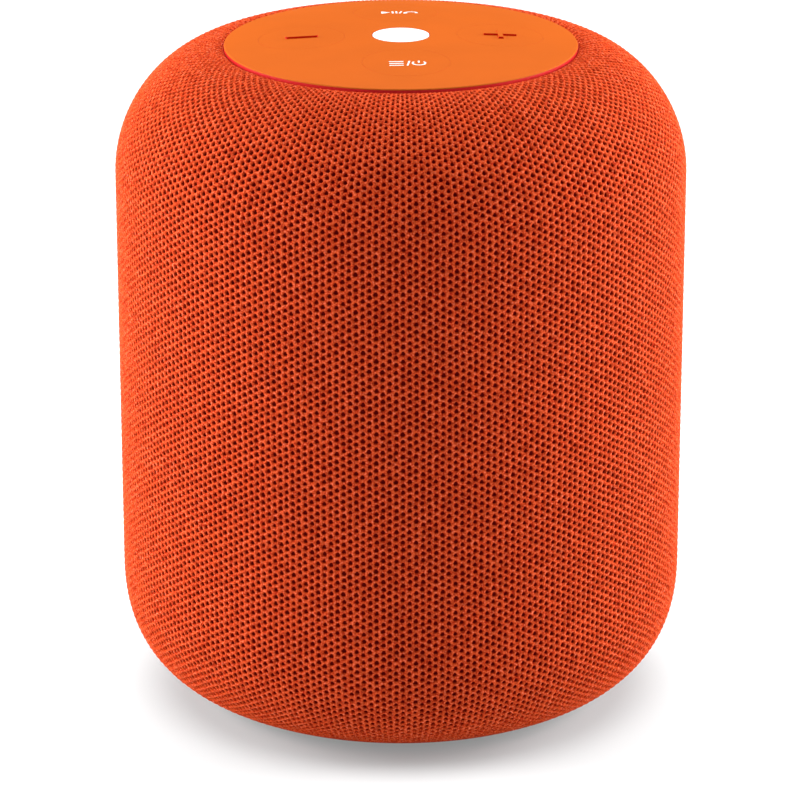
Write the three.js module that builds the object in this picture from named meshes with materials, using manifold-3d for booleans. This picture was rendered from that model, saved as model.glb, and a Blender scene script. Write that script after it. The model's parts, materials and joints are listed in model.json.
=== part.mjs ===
// Portable bluetooth speaker: a fabric covered drum with a domed control panel on top.
// Millimetres, +Z up. The origin is on the floor under the middle of the foot ring.
// The front is -Y and the sockets are at the back, +Y.

import * as THREE from 'three';
import { mergeVertices } from 'three/addons/utils/BufferGeometryUtils.js';
import Module from 'manifold-3d';

const wasm = await Module();
wasm.setup();

// ---------------------------------------------------------------- driving dimensions

const GAP = 0.3;                 // clearance between pieces that meet
const ROUND = 32;                // facets around the outer pieces
const INNER_ROUND = 16;          // facets around the inner pieces
const SMALL_ROUND = 8;           // facets around screws, stems and holes

// Outline of the drum
const BODY_RADIUS = 60;
const BODY_HEIGHT = 140.9;       // where the fabric meets the control panel
const BASE_EDGE = 2.3;           // where the fabric meets the base plate
const PANEL_RADIUS = 36.9;
const SHOULDER = { centre: PANEL_RADIUS, rise: 26.2, power: 1.925, up: 1, steps: 6 };
const HEEL = { centre: 31.3, rise: 28.4, power: 2.386, up: -1, steps: 6 };
const FABRIC = 2;
const CAGE_WALL = 2.4;

// Base
const FOOT = { inner: 33, outer: 41, height: 3.4, chamfer: 0.8 };
const BASE_PLATE = { radius: 43.6, top: 5 };
const BASE_SCREW = { circle: 27.5, angle: 62, head: 2.7, headHeight: 1.3, shank: 1.2, length: 9.4 };

// Grille cage
const CAGE_FLOOR = { inner: 21, bottom: 5.3, top: 7.5 };
const CAGE_LEDGE = { inner: 32, collar: 38.9, bottom: 131.6, top: 134 };
const CAGE_TOP = 138.6;
const CAGE_SLOT = { columns: 12, width: 13, rows: [[52, 90], [106, 126]] };
const CAGE_LUG = { inner: 51.5, width: 10, bottom: 94, top: 99.7 };
const BOARD_POST = { x: 30, y: 26, radius: 2.6, pin: 1.2, pinHeight: 2.6 };
const BASE_BOSS = { radius: 3, top: 13 };
const OVERLAP = 0.5;             // how far joined shapes run into each other

// Electronics bay
const TRAY = { length: 72, width: 42, height: 14, bottom: 7.8, wall: 1.6 };
const CELL = { radius: 9.1, length: 65, nub: 3.2, pitch: 19.2 };
const BOARD = { radius: 48, bottom: 31.3, thickness: 1.6, tabHalf: 15, tabReach: 52.6 };
const PORT_PANEL = { half: 17, bottom: 30.3, top: 41.7, inner: 57, outer: 59.7 };
const SOCKET_FRONT = 55.3;
const USB = { x: -7, width: 9, height: 3.2, depth: 8, wall: 0.3, back: 1.5 };
const USB_TONGUE = { width: 6.7, thickness: 0.7 };
const JACK = { x: 7, width: 6.2, height: 5, depth: 8.2, hole: 3.2 };
const JACK_NECK = { radius: 2.4, nose: 2.6, bore: 1.8, back: 1.3 };
const MICROPHONE = { radius: 2, depth: 1.5, front: 56.6, z: 39, pinhole: 0.6 };
const CHIP = { body: 10, bottom: 0.2, top: 1.6, leg: { length: 1.6, width: 0.5, height: 0.8 } };
const MODULE = { width: 14, length: 20, board: 0.8 };
const MODULE_SHIELD = { width: 12.4, length: 13, top: 2.2, y: -2.6 };
const CAPACITOR = { radius: 5, waist: 4.6, height: 10, grooveAt: 1.9, groove: 0.5, lip: 0.4 };
const BATTERY_LEAD = { radius: 1.2, exit: 16 };

// Acoustic chamber
const CHAMBER = { radius: 50, wall: 2.5, bottom: 48.3, top: 99.7, port: 29.5 };
const LID = { radius: 54.7, bottom: 100, top: 104, hole: 28.3, spigotDepth: 3, spigotWall: 3 };
const CABLE_WAY = { width: 12, depth: 20, from: 50.6 };
const RIBBON_ANGLE = 125;
const RIBBON = { thickness: 0.8, width: 8 };
const SPEAKER_LEAD = { radius: 1, angle: 55, height: 84 };

// Loudspeaker driver, measured from the seat of its flange
const DRIVER_SEAT = LID.top + GAP;
const DRIVER = { flange: 34, flangeTop: 1.7, screwCircle: 31.6, screwHole: 1.5 };
const COIL = { inner: 9.7, outer: 10.3, winding: 0.3, pole: 9.2 };
const DRIVER_SCREW = { head: 2, headHeight: 1.3, shank: 1.2, length: 7 };
const TOP_MAGNET_PLATE = { inner: 11, outer: 19.5, bottom: -21.8, top: -18.8 };
const MAGNET = { inner: 12.5, outer: 21.5, bottom: -31.8, top: -22.1 };
const BASKET_OPENING = { count: 6, width: 8, bottom: -12.5, top: -4 };

// Passive radiator, measured from the underside of the chamber floor
const RADIATOR_PLATE = { radius: 22.1, thickness: 2.1, weightRadius: 9, weight: 2 };
const RADIATOR_FRAME = { inner: 29.6, outer: 34, bottom: -3.9 };
const SURROUND_SHEET = 0.5;      // thickness of the rubber in both surrounds

// Control panel
const PANEL_PROUD = 0.4;         // edge of the panel above the fabric
const PANEL_CROWN = 1.75;        // rise of the dome from its edge to its middle
const PANEL_POWER = 3;           // fullness of the dome
const PANEL_BEVEL = 0.4;
const DOME_STEPS = 5;
const PANEL_UNDERSIDE = 139.8;
const WINDOW = { radius: 5.9, flange: 8, bottom: 132.9 };
const KEY = { circle: 20.7, radius: 9, flange: 10.2, stem: 2.2, travel: 0.5, clear: 0.1 };
const MARK = { level: 6.8, upright: 6, width: 1, height: 0.35 };
const TOP_PLATE = { radius: 36.4, rim: 31.4, bottom: 134.3, floor: 136.8 };
const KEY_BOARD = { radius: 30.5, bottom: 129.4, thickness: 1.6, post: 3 };
const DIFFUSER_SEAT = 2.4;       // thickness of the diffuser where it is screwed on
const SWITCH = { width: 6, height: 2.3, plunger: 1.6, plungerHeight: 0.8 };
const TOP_SCREW = { circle: 34.2, head: 2, headHeight: 1.4, shank: 1, length: 7.4 };
const KEY_BOARD_SCREW = { circle: 26, head: 2, headHeight: 1.4, shank: 1, length: 10.5 };
const LIGHT_HOLE = 5.6;
const LAMP = { width: 3.5, height: 1.3 };
const ABOVE_ALL = BODY_HEIGHT + 5;   // higher than any piece, for cuts that open upwards

// ---------------------------------------------------------------- finishes

const FINISHES = {
  knit: { color: 0xe0521c, roughness: 0.85, metalness: 0 },
  silicone: { color: 0xee7328, roughness: 0.55, metalness: 0 },
  blackPlastic: { color: 0x1c1c1e, roughness: 0.55, metalness: 0 },
  darkPlastic: { color: 0x2c2d30, roughness: 0.6, metalness: 0 },
  rubber: { color: 0x232323, roughness: 0.9, metalness: 0 },
  opal: { color: 0xf8f8f6, roughness: 0.4, metalness: 0 },
  steel: { color: 0xb9bcc0, roughness: 0.35, metalness: 1 },
  zinc: { color: 0x9fa3a6, roughness: 0.45, metalness: 1 },
  ferrite: { color: 0x3a3a3c, roughness: 0.8, metalness: 0 },
  paperCone: { color: 0x303032, roughness: 0.9, metalness: 0 },
  spiderCloth: { color: 0xc79a4a, roughness: 0.95, metalness: 0 },
  copper: { color: 0xb8703a, roughness: 0.4, metalness: 1 },
  circuitBoard: { color: 0x14532f, roughness: 0.5, metalness: 0 },
  chip: { color: 0x18181a, roughness: 0.5, metalness: 0 },
  cellWrap: { color: 0x2f6fb5, roughness: 0.4, metalness: 0 },
  lamp: { color: 0xf4efd8, roughness: 0.3, metalness: 0 },
  whiteInsulation: { color: 0xe6e4de, roughness: 0.6, metalness: 0 },
  redInsulation: { color: 0xb3261e, roughness: 0.55, metalness: 0 },
};

// ---------------------------------------------------------------- shape helpers

const radians = THREE.MathUtils.degToRad;

function piece(name, geometry, finish) {
  const mesh = new THREE.Mesh(geometry, new THREE.MeshStandardMaterial(FINISHES[finish]));
  mesh.name = name;
  return mesh;
}

function groupAt(z, ...children) {
  const group = new THREE.Group();
  group.position.z = z;
  group.add(...children);
  return group;
}

function welded(geometry) {
  const bare = geometry.clone();
  bare.deleteAttribute('normal');
  bare.deleteAttribute('uv');
  return mergeVertices(bare);
}

// Turns a profile of [radius, height] points about the Z axis. The profile runs outwards along
// the underside, up the outside and back along the top. `open` is for one that ends on the axis.
function turned(profile, facets, open = false) {
  const points = profile.map(([r, z]) => new THREE.Vector2(r, z));
  if (!open) {
    points.push(points[0].clone());
  }
  return welded(new THREE.LatheGeometry(points, facets).rotateX(Math.PI / 2));
}

function ring(inner, outer, bottom, top, facets = INNER_ROUND) {
  return turned([[inner, bottom], [outer, bottom], [outer, top], [inner, top]], facets);
}

function flatRing({ inner, outer, bottom, top }) {
  return ring(inner, outer, bottom, top);
}

function disc(radius, bottom, top, facets = SMALL_ROUND) {
  return turned([[0, bottom], [radius, bottom], [radius, top], [0, top]], facets, true);
}

function block(width, depth, bottom, top) {
  return welded(new THREE.BoxGeometry(width, depth, top - bottom).translate(0, 0, (bottom + top) / 2));
}

function solidOf(geometry) {
  const bare = welded(geometry);
  return new wasm.Manifold(new wasm.Mesh({
    numProp: 3,
    vertProperties: new Float32Array(bare.attributes.position.array),
    triVerts: new Uint32Array(bare.index.array),
  }));
}

function geometryOf(solid) {
  const mesh = solid.getMesh();
  const geometry = new THREE.BufferGeometry();
  geometry.setAttribute('position', new THREE.BufferAttribute(new Float32Array(mesh.vertProperties), 3));
  geometry.setIndex(new THREE.BufferAttribute(new Uint32Array(mesh.triVerts), 1));
  return geometry;
}

function cut(geometry, ...tools) {
  return geometryOf(tools.reduce((solid, tool) => solid.subtract(solidOf(tool)), solidOf(geometry)));
}

function join(geometry, ...others) {
  return geometryOf(others.reduce((solid, other) => solid.add(solidOf(other)), solidOf(geometry)));
}

function common(geometry, other) {
  return geometryOf(solidOf(geometry).intersect(solidOf(other)));
}

// Point at `angle` degrees on a circle about the Z axis.
function onCircle(radius, angle, z = 0) {
  return new THREE.Vector3(radius * Math.cos(radians(angle)), radius * Math.sin(radians(angle)), z);
}

function movedTo(geometry, point) {
  return geometry.clone().translate(point.x, point.y, point.z);
}

// Copies of a shape that lies along +X, turned about the Z axis to each angle.
function spreadAt(geometry, angles) {
  return angles.map((angle) => geometry.clone().rotateZ(radians(angle)));
}

function evenAngles(count, first) {
  return Array.from({ length: count }, (_, i) => first + (i * 360) / count);
}

function arc(centreR, centreZ, radius, from, to, steps) {
  return Array.from({ length: steps + 1 }, (_, i) => {
    const angle = radians(from + ((to - from) * i) / steps);
    return [centreR + radius * Math.cos(angle), centreZ + radius * Math.sin(angle)];
  });
}

// ---------------------------------------------------------------- outline of the drum

// Point on a rounded corner of the drum, moved in by `inset` along its normal.
// `turn` runs from 0 at the upright wall to 1 at the flat end.
function cornerPoint(corner, turn, inset) {
  const span = BODY_RADIUS - corner.centre;
  const level = corner.up > 0 ? BODY_HEIGHT - corner.rise : corner.rise;
  const c = Math.cos((turn * Math.PI) / 2);
  const s = Math.sin((turn * Math.PI) / 2);
  const onOutline = new THREE.Vector2(
    corner.centre + span * c ** (2 / corner.power),
    level + corner.up * corner.rise * s ** (2 / corner.power),
  );
  const normal = new THREE.Vector2(
    c ** (2 - 2 / corner.power) / span,
    (corner.up * s ** (2 - 2 / corner.power)) / corner.rise,
  ).normalize();
  const moved = onOutline.addScaledVector(normal, -inset);
  return [moved.x, moved.y];
}

// The outline from the heel up to the panel, moved in by `inset`.
function drumOutline(inset) {
  const heel = Array.from({ length: HEEL.steps + 1 }, (_, i) => cornerPoint(HEEL, 1 - i / HEEL.steps, inset));
  const shoulder = Array.from({ length: SHOULDER.steps + 1 }, (_, i) => (
    cornerPoint(SHOULDER, i / SHOULDER.steps, inset)
  ));
  return [...heel, ...shoulder];
}

// Starts a rising run of points exactly where its radius (0) or height (1) reaches `limit`.
function startAt(points, axis, limit) {
  const next = points.findIndex((point) => point[axis] > limit);
  const [before, after] = [points[next - 1], points[next]];
  const t = (limit - before[axis]) / (after[axis] - before[axis]);
  const first = [0, 1].map((i) => before[i] + t * (after[i] - before[i]));
  return [first, ...points.slice(next)];
}

// Window for the port panel through the fabric and the cage, at the back.
const portWindow = block(
  2 * (PORT_PANEL.half + GAP), BODY_RADIUS, PORT_PANEL.bottom - GAP, PORT_PANEL.top + GAP,
).translate(0, BODY_RADIUS, 0);

// ---------------------------------------------------------------- fasteners

// Pan head screw with a cross recess, its head at the bottom and its point at +Z.
function screw({ head, headHeight, shank, length }) {
  const tip = 0.8 * shank;
  const body = turned([
    [0, 0], [head * 0.85, 0], [head, headHeight * 0.3], [head, headHeight], [shank, headHeight],
    [shank, length - tip], [shank - tip * 0.6, length], [0, length],
  ], SMALL_ROUND, true);
  const recess = block(head * 1.1, head * 0.28, -1, headHeight * 0.55);
  return cut(body, recess, recess.clone().rotateZ(Math.PI / 2));
}

// ---------------------------------------------------------------- base, cage and fabric

function fabricSleeve() {
  const outside = startAt(drumOutline(0), 1, BASE_EDGE);
  const inside = drumOutline(FABRIC).slice(1).reverse();
  inside[0] = [outside.at(-1)[0] + GAP, BODY_HEIGHT - FABRIC];
  outside[outside.length - 1] = [PANEL_RADIUS + GAP, BODY_HEIGHT];
  const lowest = startAt([...inside].reverse(), 1, BASE_EDGE + FABRIC);
  return cut(turned([...outside, ...lowest.reverse()], ROUND), portWindow);
}

function grilleCage() {
  const outside = startAt(drumOutline(FABRIC + GAP), 1, CAGE_FLOOR.bottom);
  outside[outside.length - 1] = [PANEL_RADIUS + GAP, CAGE_TOP];
  const wall = drumOutline(FABRIC + GAP + CAGE_WALL);
  const inside = startAt(wall.reverse(), 0, CAGE_LEDGE.collar).reverse();
  const lowest = startAt(inside, 1, CAGE_FLOOR.top).reverse();
  const collar = PANEL_RADIUS - GAP / 3;
  const shell = turned([
    ...outside,
    [collar, CAGE_TOP], [collar, CAGE_LEDGE.top], [CAGE_LEDGE.inner, CAGE_LEDGE.top],
    [CAGE_LEDGE.inner, CAGE_LEDGE.bottom], [CAGE_LEDGE.collar, CAGE_LEDGE.bottom],
    ...lowest,
    [CAGE_FLOOR.inner, CAGE_FLOOR.top], [CAGE_FLOOR.inner, CAGE_FLOOR.bottom],
  ], ROUND);

  const bossHole = BASE_SCREW.shank + GAP;
  const boss = disc(BASE_BOSS.radius, CAGE_FLOOR.top - OVERLAP, BASE_BOSS.top);
  const bosses = baseScrewPlaces().map((place) => movedTo(boss, place));
  const bossHoles = baseScrewPlaces().map((place) => movedTo(disc(bossHole, 0, BASE_BOSS.top + 1), place));
  const posts = boardPostPlaces().map((place) => movedTo(turned([
    [0, CAGE_FLOOR.top - OVERLAP], [BOARD_POST.radius, CAGE_FLOOR.top - OVERLAP],
    [BOARD_POST.radius, BOARD.bottom - GAP], [BOARD_POST.pin, BOARD.bottom - GAP],
    [BOARD_POST.pin, BOARD.bottom + BOARD_POST.pinHeight], [0, BOARD.bottom + BOARD_POST.pinHeight],
  ], SMALL_ROUND, true), place));
  const lugReach = BODY_RADIUS - FABRIC - GAP - CAGE_WALL / 2;
  const lug = block(lugReach - CAGE_LUG.inner, CAGE_LUG.width, CAGE_LUG.bottom, CAGE_LUG.top)
    .translate((lugReach + CAGE_LUG.inner) / 2, 0, 0);
  const slots = CAGE_SLOT.rows.flatMap(([bottom, top]) => spreadAt(
    block(BODY_RADIUS, CAGE_SLOT.width, bottom, top).translate(BODY_RADIUS * 0.85, 0, 0),
    evenAngles(CAGE_SLOT.columns, 180 / CAGE_SLOT.columns),
  ));
  const ledgeHoles = topScrewPlaces().map((place) => (
    movedTo(disc(TOP_SCREW.shank + GAP, CAGE_LEDGE.bottom - 1, CAGE_LEDGE.top + 1), place)
  ));
  const built = join(shell, ...bosses, ...posts, ...spreadAt(lug, evenAngles(4, 0)));
  return cut(built, portWindow, ...slots, ...bossHoles, ...ledgeHoles);
}

function baseScrewPlaces() {
  const { circle, angle } = BASE_SCREW;
  return [angle, 180 - angle, 180 + angle, 360 - angle].map((turn) => onCircle(circle, turn));
}

function boardPostPlaces() {
  const { x, y } = BOARD_POST;
  return [[x, y], [-x, y], [-x, -y], [x, -y]].map(([px, py]) => new THREE.Vector3(px, py, 0));
}

function basePlate() {
  const groove = FOOT.height + GAP;
  const plate = turned([
    [0, BASE_EDGE], [FOOT.inner - GAP, BASE_EDGE], [FOOT.inner - GAP, groove],
    [FOOT.outer + GAP, groove], [FOOT.outer + GAP, BASE_EDGE], [BASE_PLATE.radius, BASE_EDGE],
    [BASE_PLATE.radius, BASE_PLATE.top], [0, BASE_PLATE.top],
  ], ROUND, true);
  const headRoom = BASE_EDGE + BASE_SCREW.headHeight + 2 * GAP;
  const holes = baseScrewPlaces().flatMap((place) => [
    movedTo(disc(BASE_SCREW.shank + GAP, 0, BASE_PLATE.top + 1), place),
    movedTo(disc(BASE_SCREW.head + GAP, 0, headRoom), place),
  ]);
  return cut(plate, ...holes);
}

function footRing() {
  const { inner, outer, height, chamfer } = FOOT;
  return turned([
    [inner + chamfer, 0], [outer - chamfer, 0], [outer, chamfer], [outer, height],
    [inner, height], [inner, chamfer],
  ], ROUND);
}

function baseGroup() {
  const group = groupAt(
    0,
    piece('foot_ring', footRing(), 'rubber'),
    piece('base_plate', basePlate(), 'darkPlastic'),
    piece('grille_cage', grilleCage(), 'blackPlastic'),
    piece('fabric_sleeve', fabricSleeve(), 'knit'),
  );
  const shape = screw(BASE_SCREW);
  baseScrewPlaces().forEach((place, i) => {
    const mesh = piece(`base_screw_${i + 1}`, shape, 'zinc');
    mesh.position.set(place.x, place.y, BASE_EDGE + GAP);
    group.add(mesh);
  });
  return group;
}

// ---------------------------------------------------------------- electronics bay

function batteryTray() {
  const { length, width, height, bottom, wall } = TRAY;
  const inside = block(length - 2 * wall, width - 2 * wall, bottom + wall, bottom + height + 1);
  return cut(block(length, width, bottom, bottom + height), inside);
}

function batteryCell() {
  const { radius, length, nub } = CELL;
  return turned([
    [0, 0], [radius, 0], [radius, length - 1], [nub, length - 1], [nub, length], [0, length],
  ], INNER_ROUND, true).translate(0, 0, -length / 2).rotateY(Math.PI / 2);
}

// Round board with a tab at the back that carries the sockets.
function mainBoard() {
  const { radius, tabHalf, tabReach, bottom, thickness } = BOARD;
  const tabStart = Math.acos(tabHalf / radius);
  const outline = new THREE.Shape();
  outline.moveTo(tabHalf, tabReach);
  outline.lineTo(-tabHalf, tabReach);
  outline.absarc(0, 0, radius, Math.PI - tabStart, 2 * Math.PI + tabStart, false);
  outline.lineTo(tabHalf, tabReach);
  for (const { x, y } of boardPostPlaces()) {
    const hole = new THREE.Path();
    hole.absarc(x, y, BOARD_POST.pin + GAP, 0, 2 * Math.PI, true);
    outline.holes.push(hole);
  }
  return new THREE.ExtrudeGeometry(outline, {
    depth: thickness, bevelEnabled: false, curveSegments: INNER_ROUND / 4,
  }).translate(0, 0, bottom);
}

// Slot with round ends, lying along X, extruded towards +Y from y = 0.
function stadium(width, height, depth) {
  const outline = new THREE.Shape();
  const flat = (width - height) / 2;
  outline.absarc(flat, 0, height / 2, -Math.PI / 2, Math.PI / 2, false);
  outline.absarc(-flat, 0, height / 2, Math.PI / 2, (3 * Math.PI) / 2, false);
  return welded(new THREE.ExtrudeGeometry(outline, {
    depth, bevelEnabled: false, curveSegments: 6,
  }).rotateX(-Math.PI / 2));
}

// Socket with its tongue, its mouth at y = 0 and its body towards -Y.
function usbSocket() {
  const { width, height, depth, wall, back } = USB;
  const tongue = USB_TONGUE;
  const shell = stadium(width, height, depth).translate(0, -depth, 0);
  const mouth = stadium(width - 2 * wall, height - 2 * wall, depth).translate(0, back - depth, 0);
  const blade = block(tongue.width, depth - back, -tongue.thickness / 2, tongue.thickness / 2)
    .translate(0, -(depth + OVERLAP) / 2, 0);
  return join(cut(shell, mouth), blade);
}

// Round hole or barrel along Y, from y = 0 towards -Y.
function barrel(radius, depth) {
  return disc(radius, 0, depth).rotateX(Math.PI / 2);
}

function auxJack() {
  const { width, height, depth } = JACK;
  const { radius, nose, bore, back } = JACK_NECK;
  const body = block(width, depth, -height / 2, height / 2).translate(0, -nose - depth / 2, 0);
  const through = barrel(bore, nose + depth - back).translate(0, GAP, 0);
  return cut(join(body, barrel(radius, nose + 1)), through);
}

function portPanel() {
  const { half, bottom, top, inner, outer } = PORT_PANEL;
  const wall = ring(inner, outer, bottom, top, ROUND);
  const panel = common(wall, block(2 * half, BODY_RADIUS, bottom - 1, top + 1).translate(0, BODY_RADIUS, 0));
  const [from, to] = [inner - 4, outer + 2];
  const usbSlot = stadium(USB.width + 2 * GAP, USB.height + 2 * GAP, to - from)
    .translate(USB.x, from, usbLevel());
  const jackHole = barrel(JACK.hole, to - from).translate(JACK.x, to, jackLevel());
  const pinhole = barrel(MICROPHONE.pinhole, to - from).translate(0, to, MICROPHONE.z);
  return cut(panel, usbSlot, jackHole, pinhole);
}

function boardTop() {
  return BOARD.bottom + BOARD.thickness + GAP;
}

function usbLevel() {
  return boardTop() + USB.height / 2;
}

function jackLevel() {
  return boardTop() + JACK.height / 2;
}

function amplifierChip() {
  const { body, bottom, top, leg } = CHIP;
  const pin = block(leg.length, leg.width, 0, leg.height);
  const reach = (body + leg.length) / 2 - leg.length / 4;
  const pins = [-reach, reach].flatMap((x) => [-3, -1, 1, 3].map((y) => pin.clone().translate(x, y, 0)));
  return join(block(body, body, bottom, top), ...pins);
}

// Small board with a metal shield over its radio.
function bluetoothModule() {
  const { width, length, board } = MODULE;
  const { width: across, length: along, top, y } = MODULE_SHIELD;
  const shield = block(across, along, board / 2, top).translate(0, y, 0);
  return join(block(width, length, 0, board), shield);
}

function storageCapacitor() {
  const { radius, waist, height, grooveAt, groove, lip } = CAPACITOR;
  return turned([
    [0, 0], [waist, 0], [radius, lip], [radius, grooveAt - groove], [waist, grooveAt],
    [radius, grooveAt + groove], [radius, height - lip], [waist, height], [0, height],
  ], INNER_ROUND, true);
}

function placed(mesh, x, y, z) {
  mesh.position.set(x, y, z);
  return mesh;
}

// Lead of a given section along a smooth curve through the points.
function lead(points, section, steps) {
  const path = new THREE.CatmullRomCurve3(points, false, 'centripetal');
  return welded(new THREE.ExtrudeGeometry(section, { extrudePath: path, steps, bevelEnabled: false }));
}

function roundSection(radius) {
  const section = new THREE.Shape();
  section.absarc(0, 0, radius, 0, 2 * Math.PI, false);
  return new THREE.Shape(section.getPoints(3).slice(0, -1));
}

function batteryLead() {
  const start = TRAY.length / 2 + GAP;
  const { radius, exit } = BATTERY_LEAD;
  return lead([
    new THREE.Vector3(start, 0, exit), new THREE.Vector3(start + 1.4, 0, exit),
    new THREE.Vector3(start + 3, 0, 18), new THREE.Vector3(start + 3.4, 0, 24),
    new THREE.Vector3(start + 2, 0, 28), new THREE.Vector3(start + 2, 0, BOARD.bottom - GAP),
  ], roundSection(radius), 10);
}

function electronicsGroup() {
  const cellLevel = TRAY.bottom + TRAY.wall + GAP + CELL.radius;
  const microphone = piece('microphone', barrel(MICROPHONE.radius, MICROPHONE.depth), 'steel');
  return groupAt(
    0,
    piece('battery_tray', batteryTray(), 'darkPlastic'),
    placed(piece('battery_cell_1', batteryCell(), 'cellWrap'), 0, -CELL.pitch / 2, cellLevel),
    placed(piece('battery_cell_2', batteryCell().rotateZ(Math.PI), 'cellWrap'), 0, CELL.pitch / 2, cellLevel),
    piece('battery_lead', batteryLead(), 'redInsulation'),
    piece('main_board', mainBoard(), 'circuitBoard'),
    placed(piece('bluetooth_module', bluetoothModule(), 'zinc'), -24, 2, boardTop()),
    placed(piece('amplifier_chip', amplifierChip(), 'chip'), 4, -16, boardTop()),
    placed(piece('storage_capacitor', storageCapacitor(), 'steel'), 38, -8, boardTop()),
    placed(piece('usb_c_socket', usbSocket(), 'steel'), USB.x, SOCKET_FRONT, usbLevel()),
    placed(piece('aux_jack', auxJack(), 'blackPlastic'), JACK.x, SOCKET_FRONT, jackLevel()),
    placed(microphone, 0, MICROPHONE.front, MICROPHONE.z),
    piece('port_panel', portPanel(), 'blackPlastic'),
  );
}

// ---------------------------------------------------------------- acoustic chamber

// Point at a height in the upright plane that a lead runs in.
function inPlane(angle) {
  return ([radius, z]) => onCircle(radius, angle, z);
}

function chamberShell() {
  const { radius, wall, bottom, top, port } = CHAMBER;
  const cup = turned([
    [port, bottom], [radius, bottom], [radius, top], [radius - wall, top],
    [radius - wall, bottom + wall], [port, bottom + wall],
  ], INNER_ROUND);
  const leadHole = disc(SPEAKER_LEAD.radius + GAP, 0, 20).rotateY(Math.PI / 2)
    .translate(radius - 10, 0, SPEAKER_LEAD.height).rotateZ(radians(SPEAKER_LEAD.angle));
  return cut(cup, leadHole);
}

function chamberLid() {
  const spigot = CHAMBER.radius - CHAMBER.wall - GAP;
  const { radius, bottom, top, hole, spigotDepth, spigotWall } = LID;
  const lid = turned([
    [hole, bottom], [spigot - spigotWall, bottom], [spigot - spigotWall, bottom - spigotDepth],
    [spigot, bottom - spigotDepth], [spigot, bottom], [radius, bottom], [radius, top], [hole, top],
  ], INNER_ROUND);
  const cableWay = block(CABLE_WAY.depth, CABLE_WAY.width, bottom - 1, top + 1)
    .translate(CABLE_WAY.from + CABLE_WAY.depth / 2, 0, 0)
    .rotateZ(radians(RIBBON_ANGLE));
  const screwHoles = driverScrewPlaces().map((place) => (
    movedTo(disc(DRIVER.screwHole, bottom - 1, top + 1), place)
  ));
  return cut(lid, cableWay, ...screwHoles);
}

function speakerLead() {
  const route = [
    [44, boardTop() + 0.2], [46, 38], [51, 44], [52.6, 52], [52.6, 64], [52.6, 76],
    [52, 82.4], [49.6, SPEAKER_LEAD.height], [46.4, SPEAKER_LEAD.height], [40, 83], [32, 82],
    [26, 85.5], [23.4, 88],
  ];
  return lead(route.map(inPlane(SPEAKER_LEAD.angle)), roundSection(SPEAKER_LEAD.radius), 28);
}

// Flat cable from the key board down the outside of the chamber to the main board.
function ribbonCable() {
  const route = [
    [31, 130.2], [36, 129.8], [42, 127], [48, 120], [52, 112], [52.7, 104], [52.7, 90], [52.7, 70],
    [52.7, 52], [50, 42], [45, 37], [43.4, boardTop() + 0.2],
  ];
  const [x, y] = [RIBBON.thickness / 2, RIBBON.width / 2];
  const section = new THREE.Shape([
    new THREE.Vector2(-x, -y), new THREE.Vector2(x, -y), new THREE.Vector2(x, y), new THREE.Vector2(-x, y),
  ]);
  return lead(route.map(inPlane(RIBBON_ANGLE)), section, 28);
}

function chamberGroup() {
  return groupAt(
    0,
    piece('chamber_shell', chamberShell(), 'darkPlastic'),
    piece('chamber_lid', chamberLid(), 'darkPlastic'),
    piece('speaker_lead', speakerLead(), 'redInsulation'),
    piece('ribbon_cable', ribbonCable(), 'whiteInsulation'),
  );
}

// ---------------------------------------------------------------- loudspeaker driver

function driverScrewPlaces() {
  return evenAngles(4, 45).map((angle) => onCircle(DRIVER.screwCircle, angle));
}

// Sheet metal basket with a flange that is screwed to the lid.
function driverFrame() {
  const { flange, flangeTop, screwHole } = DRIVER;
  const { count, width, bottom, top } = BASKET_OPENING;
  const frame = turned([
    [11.6, -18.5], [20.6, -18.5], [28, -3], [28, 0], [flange, 0], [flange, flangeTop],
    [26.8, flangeTop], [26.8, -3.2], [19.6, -17.3], [11.6, -17.3],
  ], INNER_ROUND);
  const opening = block(flange, width, bottom, top).translate(flange, 0, 0);
  const openings = spreadAt(opening, evenAngles(count, 0));
  const screwHoles = driverScrewPlaces().map((place) => movedTo(disc(screwHole, -1, flangeTop + 1), place));
  return cut(frame, ...openings, ...screwHoles);
}

function backPlateAndPole() {
  return turned([
    [0, -35.8], [19.5, -35.8], [19.5, -32.1], [COIL.pole, -32.1], [COIL.pole, -18.8], [0, -18.8],
  ], INNER_ROUND, true);
}

function voiceCoil() {
  const { inner, outer, winding } = COIL;
  const proud = outer + winding;
  return turned([
    [inner, -24], [outer, -24], [proud, -23.6], [proud, -17.2], [outer, -16.8],
    [outer, -10.6], [inner, -10.6],
  ], INNER_ROUND);
}

// Corrugated cloth ring that centres the voice coil.
function spider() {
  const [inner, outer, level, wave, half, steps] = [10.7, 20.6, -14.2, 0.7, 0.3, 6];
  const middle = Array.from({ length: steps + 1 }, (_, i) => [
    inner + ((outer - inner) * i) / steps,
    level + (i % 2 ? wave : -wave),
  ]);
  const underside = middle.map(([r, z]) => [r, z - half]);
  const topside = middle.map(([r, z]) => [r, z + half]).reverse();
  return turned([...underside, ...topside], INNER_ROUND);
}

function cone() {
  return turned([
    [10.7, -10.8], [19.2, -4], [22.6, 0.9], [24.4, 1.1], [24.4, 1.7], [22.4, 1.7], [18.6, -3.4], [10.7, -9.8],
  ], INNER_ROUND);
}

function dustCap() {
  return turned([
    [0, -7.2], [6, -8], [10.3, -10.2], [10.3, -9.4], [6, -7.2], [0, -6.4],
  ], INNER_ROUND, true);
}

// Half round roll of rubber between the cone and the frame.
function driverSurround() {
  const [middle, roll, sheet, level] = [26.5, 2.1, SURROUND_SHEET, DRIVER.flangeTop + GAP];
  const lift = THREE.MathUtils.radToDeg(Math.asin(sheet / roll));
  return turned([
    [22.6, level], ...arc(middle, level, roll - sheet, 180, 0, 5), [29.4, level],
    [29.4, level + sheet], ...arc(middle, level, roll, lift, 180 - lift, 5), [22.6, level + sheet],
  ], INNER_ROUND);
}

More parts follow.
